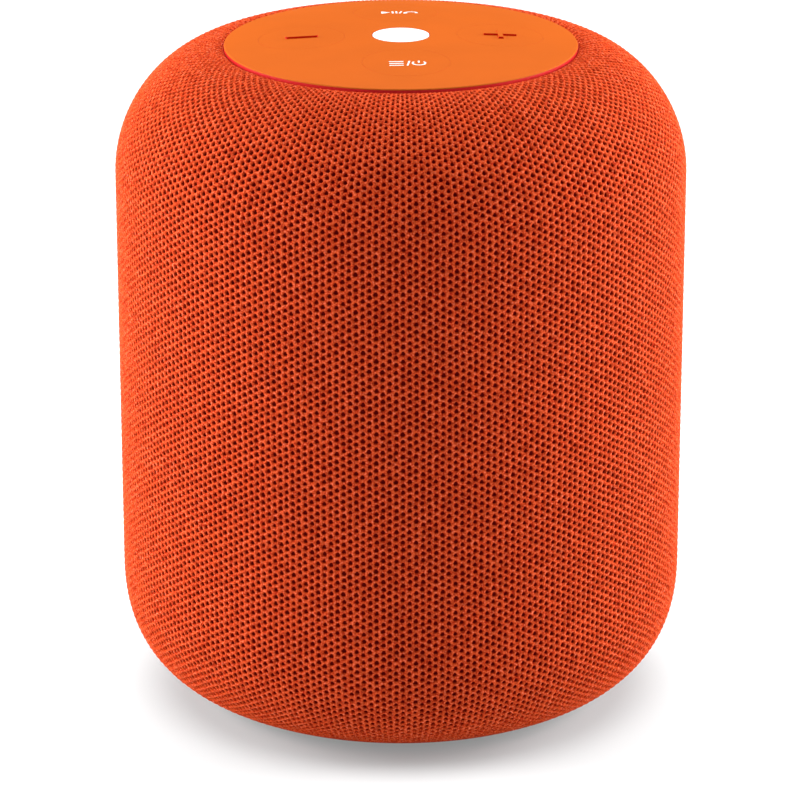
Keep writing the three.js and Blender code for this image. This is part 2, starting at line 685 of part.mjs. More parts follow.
function driverGroup() {
  const group = groupAt(
    DRIVER_SEAT,
    piece('driver_frame', driverFrame(), 'zinc'),
    piece('driver_top_plate', flatRing(TOP_MAGNET_PLATE), 'steel'),
    piece('driver_magnet', flatRing(MAGNET), 'ferrite'),
    piece('driver_back_plate', backPlateAndPole(), 'steel'),
    piece('voice_coil', voiceCoil(), 'copper'),
    piece('driver_spider', spider(), 'spiderCloth'),
    piece('driver_cone', cone(), 'paperCone'),
    piece('dust_cap', dustCap(), 'paperCone'),
    piece('driver_surround', driverSurround(), 'rubber'),
  );
  const shape = screw(DRIVER_SCREW).rotateX(Math.PI);
  const headTop = DRIVER.flangeTop + GAP + DRIVER_SCREW.headHeight;
  driverScrewPlaces().forEach((place, i) => {
    group.add(placed(piece(`driver_screw_${i + 1}`, shape, 'zinc'), place.x, place.y, headTop));
  });
  return group;
}

// ---------------------------------------------------------------- passive radiator

function radiatorSurround() {
  const [middle, roll, sheet] = [25.7, 3.2, SURROUND_SHEET];
  const lift = THREE.MathUtils.radToDeg(Math.asin(sheet / roll));
  return turned([
    [20.8, -GAP - sheet], ...arc(middle, -GAP, roll, 180 + lift, 360 - lift, 5), [33.6, -GAP - sheet],
    [33.6, -GAP], ...arc(middle, -GAP, roll - sheet, 360, 180, 5), [20.8, -GAP],
  ], INNER_ROUND);
}

function underSurround() {
  return -2 * GAP - SURROUND_SHEET;
}

// Flat diaphragm with a weight under its middle.
function radiatorPlate() {
  const { radius, thickness, weightRadius, weight } = RADIATOR_PLATE;
  const top = underSurround();
  const bottom = top - thickness;
  return turned([
    [0, bottom - weight], [weightRadius, bottom - weight], [weightRadius, bottom],
    [radius, bottom], [radius, top], [0, top],
  ], INNER_ROUND, true);
}

function radiatorGroup() {
  return groupAt(
    CHAMBER.bottom,
    piece('radiator_frame', flatRing({ ...RADIATOR_FRAME, top: underSurround() }), 'darkPlastic'),
    piece('radiator_surround', radiatorSurround(), 'rubber'),
    piece('radiator_plate', radiatorPlate(), 'steel'),
  );
}

// ---------------------------------------------------------------- control panel

function domeHeight(radius) {
  return BODY_HEIGHT + PANEL_PROUD + PANEL_CROWN * (1 - (radius / PANEL_RADIUS) ** PANEL_POWER);
}

function domeArc(from, to, steps) {
  return Array.from({ length: steps + 1 }, (_, i) => {
    const radius = from + ((to - from) * i) / steps;
    return [radius, domeHeight(radius)];
  });
}

function topScrewPlaces() {
  return evenAngles(3, 90).map((angle) => onCircle(TOP_SCREW.circle, angle));
}

function keyBoardScrewPlaces() {
  return evenAngles(3, 45).map((angle) => onCircle(KEY_BOARD_SCREW.circle, angle));
}

const KEYS = [
  { name: 'volume_down', angle: 180, marks: [[MARK.level, MARK.width]] },
  { name: 'volume_up', angle: 0, marks: [[MARK.level, MARK.width], [MARK.width, MARK.upright]] },
  { name: 'play', angle: 90, marks: [] },
  { name: 'mode', angle: 270, marks: [] },
];

function controlSkin() {
  const hole = WINDOW.radius + GAP;
  const skin = turned([
    [hole, PANEL_UNDERSIDE], [PANEL_RADIUS, PANEL_UNDERSIDE],
    [PANEL_RADIUS, domeHeight(PANEL_RADIUS) - PANEL_BEVEL],
    ...domeArc(PANEL_RADIUS - PANEL_BEVEL, hole, DOME_STEPS),
  ], ROUND);
  const keyHoles = KEYS.map(({ angle }) => movedTo(
    disc(KEY.radius + GAP, PANEL_UNDERSIDE - 1, ABOVE_ALL, INNER_ROUND),
    onCircle(KEY.circle, angle),
  ));
  return cut(skin, ...keyHoles);
}

// Key with its cap level with the panel, raised marks on it, a flange below and a stem to its switch.
function key({ angle, marks }) {
  const place = onCircle(KEY.circle, angle);
  const dome = turned([
    [0, PANEL_UNDERSIDE - 2], [PANEL_RADIUS, PANEL_UNDERSIDE - 2], ...domeArc(PANEL_RADIUS, 0, DOME_STEPS),
  ], ROUND, true);
  const flangeTop = PANEL_UNDERSIDE - GAP;
  const flangeBottom = TOP_PLATE.floor + KEY.travel + KEY.clear;
  const cap = common(dome, movedTo(disc(KEY.radius, flangeTop - OVERLAP, ABOVE_ALL, INNER_ROUND), place));
  const flange = movedTo(disc(KEY.flange, flangeBottom, flangeTop, INNER_ROUND), place);
  const stemBottom = switchTop() + KEY.travel + KEY.clear / 2;
  const stem = movedTo(disc(KEY.stem, stemBottom, flangeBottom + OVERLAP), place);
  const markTop = movedTo(dome, new THREE.Vector3(0, 0, MARK.height));
  const bars = marks.map(([width, depth]) => (
    common(markTop, movedTo(block(width, depth, PANEL_UNDERSIDE, ABOVE_ALL), place))
  ));
  return join(cap, flange, stem, ...bars);
}

function boardFace() {
  return KEY_BOARD.bottom + KEY_BOARD.thickness + GAP;
}

function switchTop() {
  return boardFace() + SWITCH.height + SWITCH.plungerHeight;
}

function tactSwitch() {
  const { width, height, plunger, plungerHeight } = SWITCH;
  return join(block(width, width, 0, height), disc(plunger, height - OVERLAP, height + plungerHeight));
}

function lightWindow() {
  const flangeTop = PANEL_UNDERSIDE - GAP;
  const flangeBottom = TOP_PLATE.floor + GAP;
  const { radius, flange, bottom } = WINDOW;
  const stem = LIGHT_HOLE - 1;
  return turned([
    [0, bottom], [stem, bottom], [stem, flangeBottom], [flange, flangeBottom], [flange, flangeTop],
    [radius, flangeTop], ...domeArc(radius, 0, 3),
  ], INNER_ROUND, true);
}

function topPlate() {
  const { radius, rim, bottom, floor } = TOP_PLATE;
  const rimTop = PANEL_UNDERSIDE - GAP;
  const plate = turned([
    [LIGHT_HOLE, bottom], [radius, bottom], [radius, rimTop], [rim, rimTop], [rim, floor],
    [LIGHT_HOLE, floor],
  ], INNER_ROUND);
  const post = disc(KEY_BOARD.post, boardFace(), bottom + OVERLAP);
  const posts = keyBoardScrewPlaces().map((place) => movedTo(post, place));
  const stemHoles = KEYS.map(({ angle }) => (
    movedTo(disc(KEY.stem + 2 * GAP, bottom - 1, floor + 1), onCircle(KEY.circle, angle))
  ));
  const postHoles = keyBoardScrewPlaces().map((place) => (
    movedTo(disc(KEY_BOARD_SCREW.shank + GAP, boardFace() - 1, floor - 0.8), place)
  ));
  const rimHoles = topScrewPlaces().map((place) => (
    movedTo(disc(TOP_SCREW.shank + GAP, bottom - 1, floor + 0.7), place)
  ));
  return cut(join(plate, ...posts), ...stemHoles, ...postHoles, ...rimHoles);
}

function keyBoard() {
  const { radius, bottom, thickness } = KEY_BOARD;
  const holes = keyBoardScrewPlaces().map((place) => (
    movedTo(disc(KEY_BOARD_SCREW.shank + GAP, bottom - 1, bottom + thickness + 1), place)
  ));
  return cut(disc(radius, bottom, bottom + thickness, INNER_ROUND), ...holes);
}

// Cone that points down over the driver and turns its sound outwards all round.
function diffuserCone() {
  const top = KEY_BOARD.bottom - GAP;
  const shape = turned([
    [0, 109.5], [3, 110.2], [8, 114], [15, 120.6], [22, top - DIFFUSER_SEAT],
    [29.5, top - DIFFUSER_SEAT], [29.5, top],
    [21.5, top], [14, 122.6], [7.5, 116.2], [0, 112.5],
  ], INNER_ROUND, true);
  const holes = keyBoardScrewPlaces().map((place) => (
    movedTo(disc(KEY_BOARD_SCREW.shank + GAP, top - 4, top + 1), place)
  ));
  return cut(shape, ...holes);
}

function controlGroup() {
  const group = groupAt(
    0,
    piece('control_skin', controlSkin(), 'silicone'),
    piece('light_window', lightWindow(), 'opal'),
    piece('top_plate', topPlate(), 'blackPlastic'),
    piece('key_board', keyBoard(), 'circuitBoard'),
    placed(piece('indicator_led', block(LAMP.width, LAMP.width, 0, LAMP.height), 'lamp'), 0, 0, boardFace()),
    piece('diffuser_cone', diffuserCone(), 'blackPlastic'),
  );
  for (const each of KEYS) {
    const place = onCircle(KEY.circle, each.angle);
    group.add(piece(`key_${each.name}`, key(each), 'silicone'));
    group.add(placed(piece(`switch_${each.name}`, tactSwitch(), 'chip'), place.x, place.y, boardFace()));
  }
  topScrewPlaces().forEach((place, i) => {
    const head = CAGE_LEDGE.bottom - GAP - TOP_SCREW.headHeight;
    group.add(placed(piece(`top_screw_${i + 1}`, screw(TOP_SCREW), 'zinc'), place.x, place.y, head));
  });
  keyBoardScrewPlaces().forEach((place, i) => {
    const head = KEY_BOARD.bottom - DIFFUSER_SEAT - 2 * GAP - KEY_BOARD_SCREW.headHeight;
    const mesh = piece(`key_board_screw_${i + 1}`, screw(KEY_BOARD_SCREW), 'zinc');
    group.add(placed(mesh, place.x, place.y, head));
  });
  return group;
}

// ---------------------------------------------------------------- whole speaker

const speaker = new THREE.Group();
speaker.add(baseGroup(), electronicsGroup(), chamberGroup(), driverGroup(), radiatorGroup(), controlGroup());

export default speaker;
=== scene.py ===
import json
import math

import bmesh
import bpy
import numpy as np
from bpy.props import FloatProperty, FloatVectorProperty, IntProperty, PointerProperty
from mathutils import Matrix, Vector
from mathutils.geometry import delaunay_2d_cdt


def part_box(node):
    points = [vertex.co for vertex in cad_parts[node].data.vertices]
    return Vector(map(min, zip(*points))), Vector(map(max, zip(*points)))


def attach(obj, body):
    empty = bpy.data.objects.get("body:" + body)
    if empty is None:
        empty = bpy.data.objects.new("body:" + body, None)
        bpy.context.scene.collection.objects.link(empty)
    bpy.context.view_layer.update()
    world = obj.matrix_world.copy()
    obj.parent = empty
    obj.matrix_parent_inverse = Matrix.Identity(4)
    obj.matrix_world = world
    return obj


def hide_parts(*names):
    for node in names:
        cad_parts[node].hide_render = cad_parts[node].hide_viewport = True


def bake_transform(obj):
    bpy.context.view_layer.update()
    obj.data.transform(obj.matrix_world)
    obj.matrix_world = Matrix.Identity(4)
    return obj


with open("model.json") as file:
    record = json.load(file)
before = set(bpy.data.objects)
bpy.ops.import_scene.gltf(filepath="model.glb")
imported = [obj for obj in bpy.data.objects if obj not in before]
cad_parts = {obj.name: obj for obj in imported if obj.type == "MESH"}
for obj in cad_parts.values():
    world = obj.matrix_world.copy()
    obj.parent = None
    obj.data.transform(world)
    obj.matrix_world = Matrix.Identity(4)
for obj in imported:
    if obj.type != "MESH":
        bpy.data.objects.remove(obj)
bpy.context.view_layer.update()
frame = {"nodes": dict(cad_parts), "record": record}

bl_info = {
    "name": "Fabric Drum Speaker",
    "version": (1, 0, 0),
    "blender": (4, 5, 0),
    "location": "View3D > Sidebar > Speaker",
    "description": "Builds the knitted sleeve, control panel, keys, sockets and base of a round portable speaker",
    "category": "Add Mesh",
}

MM = 0.001
SAME_PLACE = 1e-6          # metres within which two points are one
ALMOST = 0.999             # share of a whole that keeps a rounding from coming out upright or pinched
HOUSING = "housing"
KEY_NAMES = ("volume_down", "volume_up", "play", "mode")


# ------------------------------------------------------------------ measures from the frame

def low(node):
    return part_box(node)[0]


def high(node):
    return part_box(node)[1]


def middle(node):
    return (low(node) + high(node)) / 2


# ------------------------------------------------------------------ settings

class SpeakerSizes(bpy.types.PropertyGroup):
    """Sizes of the speaker's visible pieces"""

    body_radius: FloatProperty(
        name="Body radius", description="Outer radius of the fabric", default=high("fabric_sleeve").x,
        unit="LENGTH")
    fabric_bottom: FloatProperty(
        name="Fabric bottom", description="Height of the fabric's lower edge", default=low("fabric_sleeve").z,
        unit="LENGTH")
    fabric_top: FloatProperty(
        name="Fabric top", description="Height of the fabric where it meets the panel",
        default=high("fabric_sleeve").z, unit="LENGTH")
    panel_radius: FloatProperty(
        name="Panel radius", description="Radius of the control panel", default=high("control_skin").x,
        unit="LENGTH")
    panel_edge: FloatProperty(
        name="Panel edge", description="Height of the panel's edge above the fabric", default=0.4 * MM,
        unit="LENGTH")
    panel_gap: FloatProperty(
        name="Panel gap", description="Gap between the panel and the fabric", default=0.12 * MM, unit="LENGTH")
    panel_rim: FloatProperty(
        name="Panel rim", description="Radius of the panel's rounded rim", default=0.25 * MM, unit="LENGTH")
    panel_power: FloatProperty(
        name="Panel power", description="Fullness of the panel's dome", default=3.0)
    window_radius: FloatProperty(
        name="Window radius", description="Radius of the light window", default=5.9 * MM, unit="LENGTH")
    shoulder_rise: FloatProperty(
        name="Shoulder rise", description="Height of the rounding at the top", default=26.2 * MM, unit="LENGTH")
    shoulder_power: FloatProperty(
        name="Shoulder power", description="Fullness of the rounding at the top", default=1.925)
    heel_inner: FloatProperty(
        name="Heel inner radius", description="Radius where the lower rounding starts", default=31.3 * MM,
        unit="LENGTH")
    heel_rise: FloatProperty(
        name="Heel rise", description="Height of the rounding at the bottom", default=28.4 * MM, unit="LENGTH")
    heel_power: FloatProperty(
        name="Heel power", description="Fullness of the rounding at the bottom", default=2.386)
    knit_columns: IntProperty(
        name="Knit columns", description="Columns of openings round the sleeve, an even number", default=280)
    tuck: FloatProperty(
        name="Tuck", description="How far the fabric dips beside the panel", default=0.55 * MM, unit="LENGTH")
    tuck_width: FloatProperty(
        name="Tuck width", description="Width of the dip beside the panel", default=2.2 * MM, unit="LENGTH")
    window_gap: FloatProperty(
        name="Window gap", description="Gap around the light window", default=0.18 * MM, unit="LENGTH")
    key_circle: FloatProperty(
        name="Key circle", description="Radius of the circle that the keys sit on",
        default=middle("key_volume_up").x, unit="LENGTH")
    key_radius: FloatProperty(
        name="Key radius", description="Radius of each key's cap", default=9 * MM, unit="LENGTH")
    key_gap: FloatProperty(
        name="Key gap", description="Gap around each key", default=0.03 * MM, unit="LENGTH")
    mark_length: FloatProperty(
        name="Mark length", description="Length of the plus and minus marks", default=6.8 * MM, unit="LENGTH")
    upright_length: FloatProperty(
        name="Upright length", description="Length of the plus mark's other stroke", default=6.0 * MM,
        unit="LENGTH")
    mark_width: FloatProperty(
        name="Mark width", description="Width of the marks' strokes", default=1.0 * MM, unit="LENGTH")
    mark_height: FloatProperty(
        name="Mark height", description="How far the plus and minus marks stand up", default=0.42 * MM,
        unit="LENGTH")
    port_flange: FloatProperty(
        name="Socket panel flange", description="How far the socket panel laps over the fabric",
        default=1.1 * MM, unit="LENGTH")


class SpeakerColours(bpy.types.PropertyGroup):
    """Colours of the speaker's visible pieces"""

    yarn: FloatVectorProperty(
        name="Yarn", description="Main colour of the knitted yarn", default=(0.655, 0.072, 0.018), size=3,
        subtype="COLOR", min=0, max=1)
    yarn_light: FloatVectorProperty(
        name="Light yarn", description="Lighter fibres in the yarn", default=(0.77, 0.122, 0.026), size=3,
        subtype="COLOR", min=0, max=1)
    yarn_rose: FloatVectorProperty(
        name="Rose yarn", description="Brightest fibres in the yarn", default=(0.87, 0.215, 0.14), size=3,
        subtype="COLOR", min=0, max=1)
    yarn_dark: FloatVectorProperty(
        name="Dark yarn", description="Darkest fibres in the yarn", default=(0.40, 0.014, 0.006), size=3,
        subtype="COLOR", min=0, max=1)
    panel: FloatVectorProperty(
        name="Panel", description="Silicone of the panel and keys", default=(0.545, 0.104, 0.0065), size=3,
        subtype="COLOR", min=0, max=1)
    # Painted shade: a darker, redder copy of the panel's silicone for its side wall, standing in for the shade
    # that falls there.
    panel_side_painted_shade: FloatVectorProperty(
        name="Panel side", description="Side wall of the panel", default=(0.75, 0.010, 0.012), size=3,
        subtype="COLOR", min=0, max=1)
    # Painted shade: a darker, redder copy of the silicone for the raised marks' walls, standing in for the shade
    # on them.
    mark: FloatVectorProperty(
        name="Mark", description="Walls of the raised marks", default=(0.70, 0.012, 0.002), size=3,
        subtype="COLOR", min=0, max=1)
    lining: FloatVectorProperty(
        name="Lining", description="Cloth behind the knit", default=(0.11, 0.0008, 0.0002), size=3,
        subtype="COLOR", min=0, max=1)
    ink: FloatVectorProperty(
        name="Ink", description="Printed symbols", default=(0.93, 0.92, 0.90), size=3, subtype="COLOR",
        min=0, max=1)


class SpeakerStage(bpy.types.PropertyGroup):
    """Camera, floor and lights"""

    camera_distance: FloatProperty(
        name="Camera distance", description="From the camera to its aim", default=0.9013, unit="LENGTH")
    camera_elevation: FloatProperty(
        name="Camera elevation", description="Angle above the horizon", default=math.radians(19.36),
        subtype="ANGLE")
    camera_azimuth: FloatProperty(
        name="Camera azimuth", description="Turn of the camera round the speaker", default=math.radians(-3),
        subtype="ANGLE")
    camera_aim: FloatProperty(
        name="Aim height", description="Height that the camera aims at", default=62.4 * MM, unit="LENGTH")
    lens: FloatProperty(name="Lens", description="Focal length in millimetres", default=188.9)
    shift: FloatProperty(
        name="Sideways shift", description="Shift of the view, as a share of its width", default=-0.0011)
    side_power: FloatProperty(
        name="Side power", description="Power of each softbox beside the speaker", default=7.8, unit="POWER")
    overhead_strength: FloatProperty(
        name="Overhead strength", description="Strength of the broad light from above", default=3.8)
    fill_strength: FloatProperty(
        name="Fill strength", description="Strength of the light from all round", default=0.06)
    floor_glow: FloatProperty(
        name="Floor glow", description="Light that the floor gives off, which keeps its shadow pale",
        default=0.235)


# ------------------------------------------------------------------ mesh helpers

def mesh_object(name, points, faces, smooth=True):
    mesh = bpy.data.meshes.new(name)
    mesh.from_pydata([tuple(p) for p in points], [], faces)
    mesh.validate()
    mesh.polygons.foreach_set("use_smooth", [smooth] * len(mesh.polygons))
    made = bpy.data.objects.new(name, mesh)
    bpy.context.scene.collection.objects.link(made)
    return made


def finish_piece(made, material, body, slot=None, replaced=()):
    """Gives a new piece its material and its body, and hides the CAD nodes that it replaces. The slot is not
    used.
    """
    made.data.materials.append(material)
    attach(made, body)
    if replaced:
        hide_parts(*replaced)
    return made


def sharpened(made, degrees=35):
    """Smooth faces, with a sharp edge wherever two meet at more than an angle."""
    made.data.polygons.foreach_set("use_smooth", [True] * len(made.data.polygons))
    made.data.set_sharp_from_angle(angle=math.radians(degrees))


def turned(name, profile, segments=128, closed=True):
    """A profile of (radius, height) points turned about the Z axis."""
    points, faces = [], []
    count = len(profile)
    for i in range(segments):
        angle = 2 * math.pi * i / segments
        points += [(r * math.cos(angle), r * math.sin(angle), z) for r, z in profile]
    spans = count if closed else count - 1
    for i in range(segments):
        a, b = i * count, ((i + 1) % segments) * count
        for j in range(spans):
            k = (j + 1) % count
            faces.append((a + j, b + j, b + k, a + k))
    made = mesh_object(name, points, faces)
    weld(made)
    return made


def weld(made):
    """Joins points that lie on each other, and turns every face outwards."""
    mesh = bmesh.new()
    mesh.from_mesh(made.data)
    bmesh.ops.remove_doubles(mesh, verts=mesh.verts, dist=SAME_PLACE)
    bmesh.ops.recalc_face_normals(mesh, faces=mesh.faces)
    mesh.to_mesh(made.data)
    mesh.free()


# ------------------------------------------------------------------ outline of the drum

class Outline:
    """The drum's outline by arc length, from the base up to the panel."""

    def __init__(self, sizes, inset=0.0, samples=400):
        angles = np.linspace(0, math.pi / 2, samples)
        heel = self.corner(sizes.body_radius, sizes.heel_inner, sizes.heel_rise, sizes.heel_rise, -1,
                           sizes.heel_power, angles[::-1])
        shoulder = self.corner(sizes.body_radius, sizes.panel_radius, sizes.fabric_top - sizes.shoulder_rise,
                               sizes.shoulder_rise, 1, sizes.shoulder_power, angles)
        r, z, nr, nz = (np.concatenate(pair) for pair in zip(heel, shoulder))
        upper = z > sizes.fabric_top / 2
        keep = (z >= sizes.fabric_bottom) & (~upper | (r >= sizes.panel_radius + sizes.panel_gap))
        near_panel = np.clip(1 - (r - sizes.panel_radius) / sizes.tuck_width, 0, 1) * upper
        z = z - sizes.tuck * near_panel ** 2
        r, z, nr, nz = r[keep], z[keep], nr[keep], nz[keep]
        r, z = r - inset * nr, z - inset * nz
        step = np.hypot(np.diff(r), np.diff(z))
        self.s = np.concatenate([[0], np.cumsum(step)])
        self.r, self.z, self.nr, self.nz = r, z, nr, nz

    @staticmethod
    def corner(wall, centre, level, rise, up, power, angles):
        """Radius, height and normal along a rounding, which is a quarter of a superellipse."""
        c, s = np.cos(angles).clip(0), np.sin(angles).clip(0)
        r = centre + (wall - centre) * c ** (2 / power)
        z = level + up * rise * s ** (2 / power)
        nr = c ** (2 - 2 / power) / (wall - centre)
        nz = up * s ** (2 - 2 / power) / rise
        size = np.hypot(nr, nz)
        return r, z, nr / size, nz / size

    @property
    def length(self):
        return float(self.s[-1])

    def radius(self, s):
        return np.interp(s, self.s, self.r)

    def point(self, turn, s, lift):
        """Points at an angle round the drum and a way along the outline, lifted off it."""
        s = np.clip(s, 0, self.length)
        nr, nz = np.interp(s, self.s, self.nr), np.interp(s, self.s, self.nz)
        r = np.interp(s, self.s, self.r) + nr * lift
        z = np.interp(s, self.s, self.z) + nz * lift
        return np.stack([r * np.cos(turn), r * np.sin(turn), z], -1)


# ------------------------------------------------------------------ finishes

LIP_SHADE = 0.4            # depth, from 0 to 1, that the yarn counts as having at an opening's lip, where the painted shade in the openings takes its middle step


class Finish:
    """A material with its shader and a short way to add nodes to it."""

    def __init__(self, name, colour, **sockets):
        self.material = bpy.data.materials.new(name)
        self.material.use_nodes = True
        self.tree = self.material.node_tree
        self.shader = self.tree.nodes["Principled BSDF"]
        self.set("Base Color", (*colour, 1))
        for socket, value in sockets.items():
            self.set(socket.replace("_", " "), value)
        self.material.diffuse_color = (*colour, 1)

    def set(self, socket, value):
        self.shader.inputs[socket].default_value = value

    def node(self, kind, **settings):
        made = self.tree.nodes.new("ShaderNode" + kind)
        for key, value in settings.items():
            if key in made.inputs:
                made.inputs[key].default_value = value
            else:
                setattr(made, key, value)
        return made

    def link(self, source, output, target, socket):
        self.tree.links.new(source.outputs[output], target.inputs[socket])

    def place(self, stretch=(1, 1, 1)):
        """Object coordinates in metres, stretched along each axis."""
        where = self.node("TexCoord")
        mapping = self.node("Mapping")
        mapping.inputs["Scale"].default_value = stretch
        self.link(where, "Object", mapping, "Vector")
        return mapping

    def noise(self, scale, detail=3.0, roughness=0.55, stretch=(1, 1, 1)):
        made = self.node("TexNoise", Scale=scale, Detail=detail, Roughness=roughness)
        self.link(self.place(stretch), "Vector", made, "Vector")
        return made

    def bump(self, source, output, strength, distance):
        made = self.node("Bump", Strength=strength, Distance=distance)
        self.link(source, output, made, "Height")
        self.link(made, "Normal", self.shader, "Normal")

    def ramp(self, source, output, stops):
        """Turns a texture into colours, with (place, colour) stops."""
        made = self.node("ValToRGB")
        while len(made.color_ramp.elements) < len(stops):
            made.color_ramp.elements.new(0.5)
        for element, (at, colour) in zip(made.color_ramp.elements, stops):
            element.position = at
            element.color = (*colour, 1)
        self.link(source, output, made, "Fac")
        return made

    def multiply(self, first, second):
        """The product of two colours."""
        made = self.node("Mix", data_type="RGBA", blend_type="MULTIPLY")
        made.inputs["Factor"].default_value = 1.0
        for source, socket in ((first, "A"), (second, "B")):
            output = "Result" if source.bl_idname == "ShaderNodeMix" else "Color"
            self.link(source, output, made, socket)
        return made

    def spread(self, source, output, socket, lowest, highest):
        """Lets a texture vary one of the shader's numbers between two values."""
        made = self.node("MapRange")
        made.inputs["To Min"].default_value = lowest
        made.inputs["To Max"].default_value = highest
        self.link(source, output, made, "Value")
        self.link(made, "Result", self.shader, socket)


def shade(colour, factor):
    """A colour made lighter or darker."""
    return tuple(min(1.0, c * factor) for c in colour)


def knit_finish(colours):
    """Yarn of mixed fibres, with painted shade that darkens it to deep red down in the openings, and a little
    variation from stitch to stitch.
    """
    made = Finish("knitted_yarn", colours.yarn, Roughness=0.75, Specular_IOR_Level=0.02)
    fibres = made.noise(3000, detail=3, roughness=0.7)
    yarn = made.ramp(fibres, "Fac", [
        (0.38, colours.yarn_dark), (0.47, colours.yarn), (0.56, colours.yarn_light), (0.65, colours.yarn_rose),
    ])
    # Painted shade: the yarn's colour darkens with the depth of each opening, standing in for the shade that
    # falls down in it.
    depth = made.node("Attribute", attribute_name="knit_depth")
    inside = made.ramp(depth, "Fac", [
        (0.0, (1, 1, 1)), (LIP_SHADE, (0.88, 0.52, 0.36)), (0.85, (0.24, 0.004, 0.002)),
    ])
    tone = made.node("Attribute", attribute_name="yarn_tone")
    fleck = made.ramp(tone, "Fac", [
        (0.0, (0.60, 0.52, 0.50)), (0.5, (0.92, 0.90, 0.88)), (1.0, (1, 1, 1)),
    ])
    yarn_with_painted_shade = made.multiply(yarn, inside)
    made.link(made.multiply(yarn_with_painted_shade, fleck), "Result", made.shader, "Base Color")
    twist = made.noise(5200, detail=3, stretch=(1, 1, 0.45))
    made.bump(twist, "Fac", 0.8, 0.09 * MM)
    return made.material


def hem_finish(colours):
    made = Finish("hem_tape", shade(colours.yarn, 0.7), Roughness=0.8, Specular_IOR_Level=0.15)
    weave = made.noise(4200, detail=3)
    tint = made.ramp(weave, "Fac", [(0.3, colours.yarn_dark), (0.7, shade(colours.yarn, 0.8))])
    made.link(tint, "Color", made.shader, "Base Color")
    made.bump(weave, "Fac", 0.5, 0.05 * MM)
    return made.material


def lining_finish(colours):
    made = Finish("lining_cloth", colours.lining, Roughness=0.95, Specular_IOR_Level=0.05)
    weave = made.noise(3000, detail=2)
    tint = made.ramp(weave, "Fac", [(0.3, shade(colours.lining, 0.6)), (0.7, colours.lining)])
    made.link(tint, "Color", made.shader, "Base Color")
    made.bump(weave, "Fac", 0.4, 0.05 * MM)
    return made.material


def silicone_finish(colours):
    made = Finish("orange_silicone", colours.panel, Roughness=0.6, Specular_IOR_Level=0.07)
    broad = made.noise(60, detail=2)
    tint = made.ramp(broad, "Fac", [(0.35, shade(colours.panel, 0.97)), (0.65, shade(colours.panel, 1.02))])
    made.link(tint, "Color", made.shader, "Base Color")
    grain = made.noise(7000, detail=2)
    made.spread(grain, "Fac", "Roughness", 0.54, 0.68)
    made.bump(grain, "Fac", 0.25, 0.015 * MM)
    return made.material


def wall_finish(name, colour):
    made = Finish(name, colour, Roughness=0.45, Specular_IOR_Level=0.2)
    grain = made.noise(7000, detail=2)
    tint = made.ramp(grain, "Fac", [(0.3, shade(colour, 0.9)), (0.7, colour)])
    made.link(tint, "Color", made.shader, "Base Color")
    made.bump(grain, "Fac", 0.25, 0.015 * MM)
    return made.material


def ink_finish(colours):
    made = Finish("white_ink", colours.ink, Roughness=0.45)
    grain = made.noise(9000, detail=2)
    made.spread(grain, "Fac", "Roughness", 0.38, 0.55)
    return made.material


def opal_finish():
    made = Finish("opal_window", (0.93, 0.93, 0.92), Roughness=0.35, Emission_Color=(1, 1, 1, 1),
                  Emission_Strength=0.22)
    haze = made.noise(800, detail=2)
    made.spread(haze, "Fac", "Roughness", 0.3, 0.42)
    return made.material


def moulded_finish(name, colour, grain_size=2600, roughness=(0.45, 0.62), depth=0.03 * MM):
    made = Finish(name, colour, Roughness=roughness[0], Specular_IOR_Level=0.35)
    grain = made.noise(grain_size, detail=3)
    made.spread(grain, "Fac", "Roughness", *roughness)
    made.bump(grain, "Fac", 0.35, depth)
    return made.material


def metal_finish(name, colour, roughness=(0.22, 0.38), stretch=(1, 1, 12)):
    made = Finish(name, colour, Metallic=1.0, Roughness=roughness[0])
    brushed = made.noise(2200, detail=4, stretch=stretch)
    made.spread(brushed, "Fac", "Roughness", *roughness)
    made.bump(brushed, "Fac", 0.15, 0.01 * MM)
    return made.material


# ------------------------------------------------------------------ the knitted sleeve

KNIT_PORT_MARGIN = 0.4 * MM      # from the socket panel to the edge of the knit
LINING_PORT_MARGIN = 0.6 * MM    # and to the edge of the lining


def in_port_window(turn, z, margin):
    """Whether a place on the drum lies in the window for the sockets, at the back."""
    lowest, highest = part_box("port_panel")
    x = np.cos(turn) * high("fabric_sleeve").x
    beside = np.abs(x) < highest.x + margin
    return (np.sin(turn) > 0) & beside & (z > lowest.z - margin) & (z < highest.z + margin)


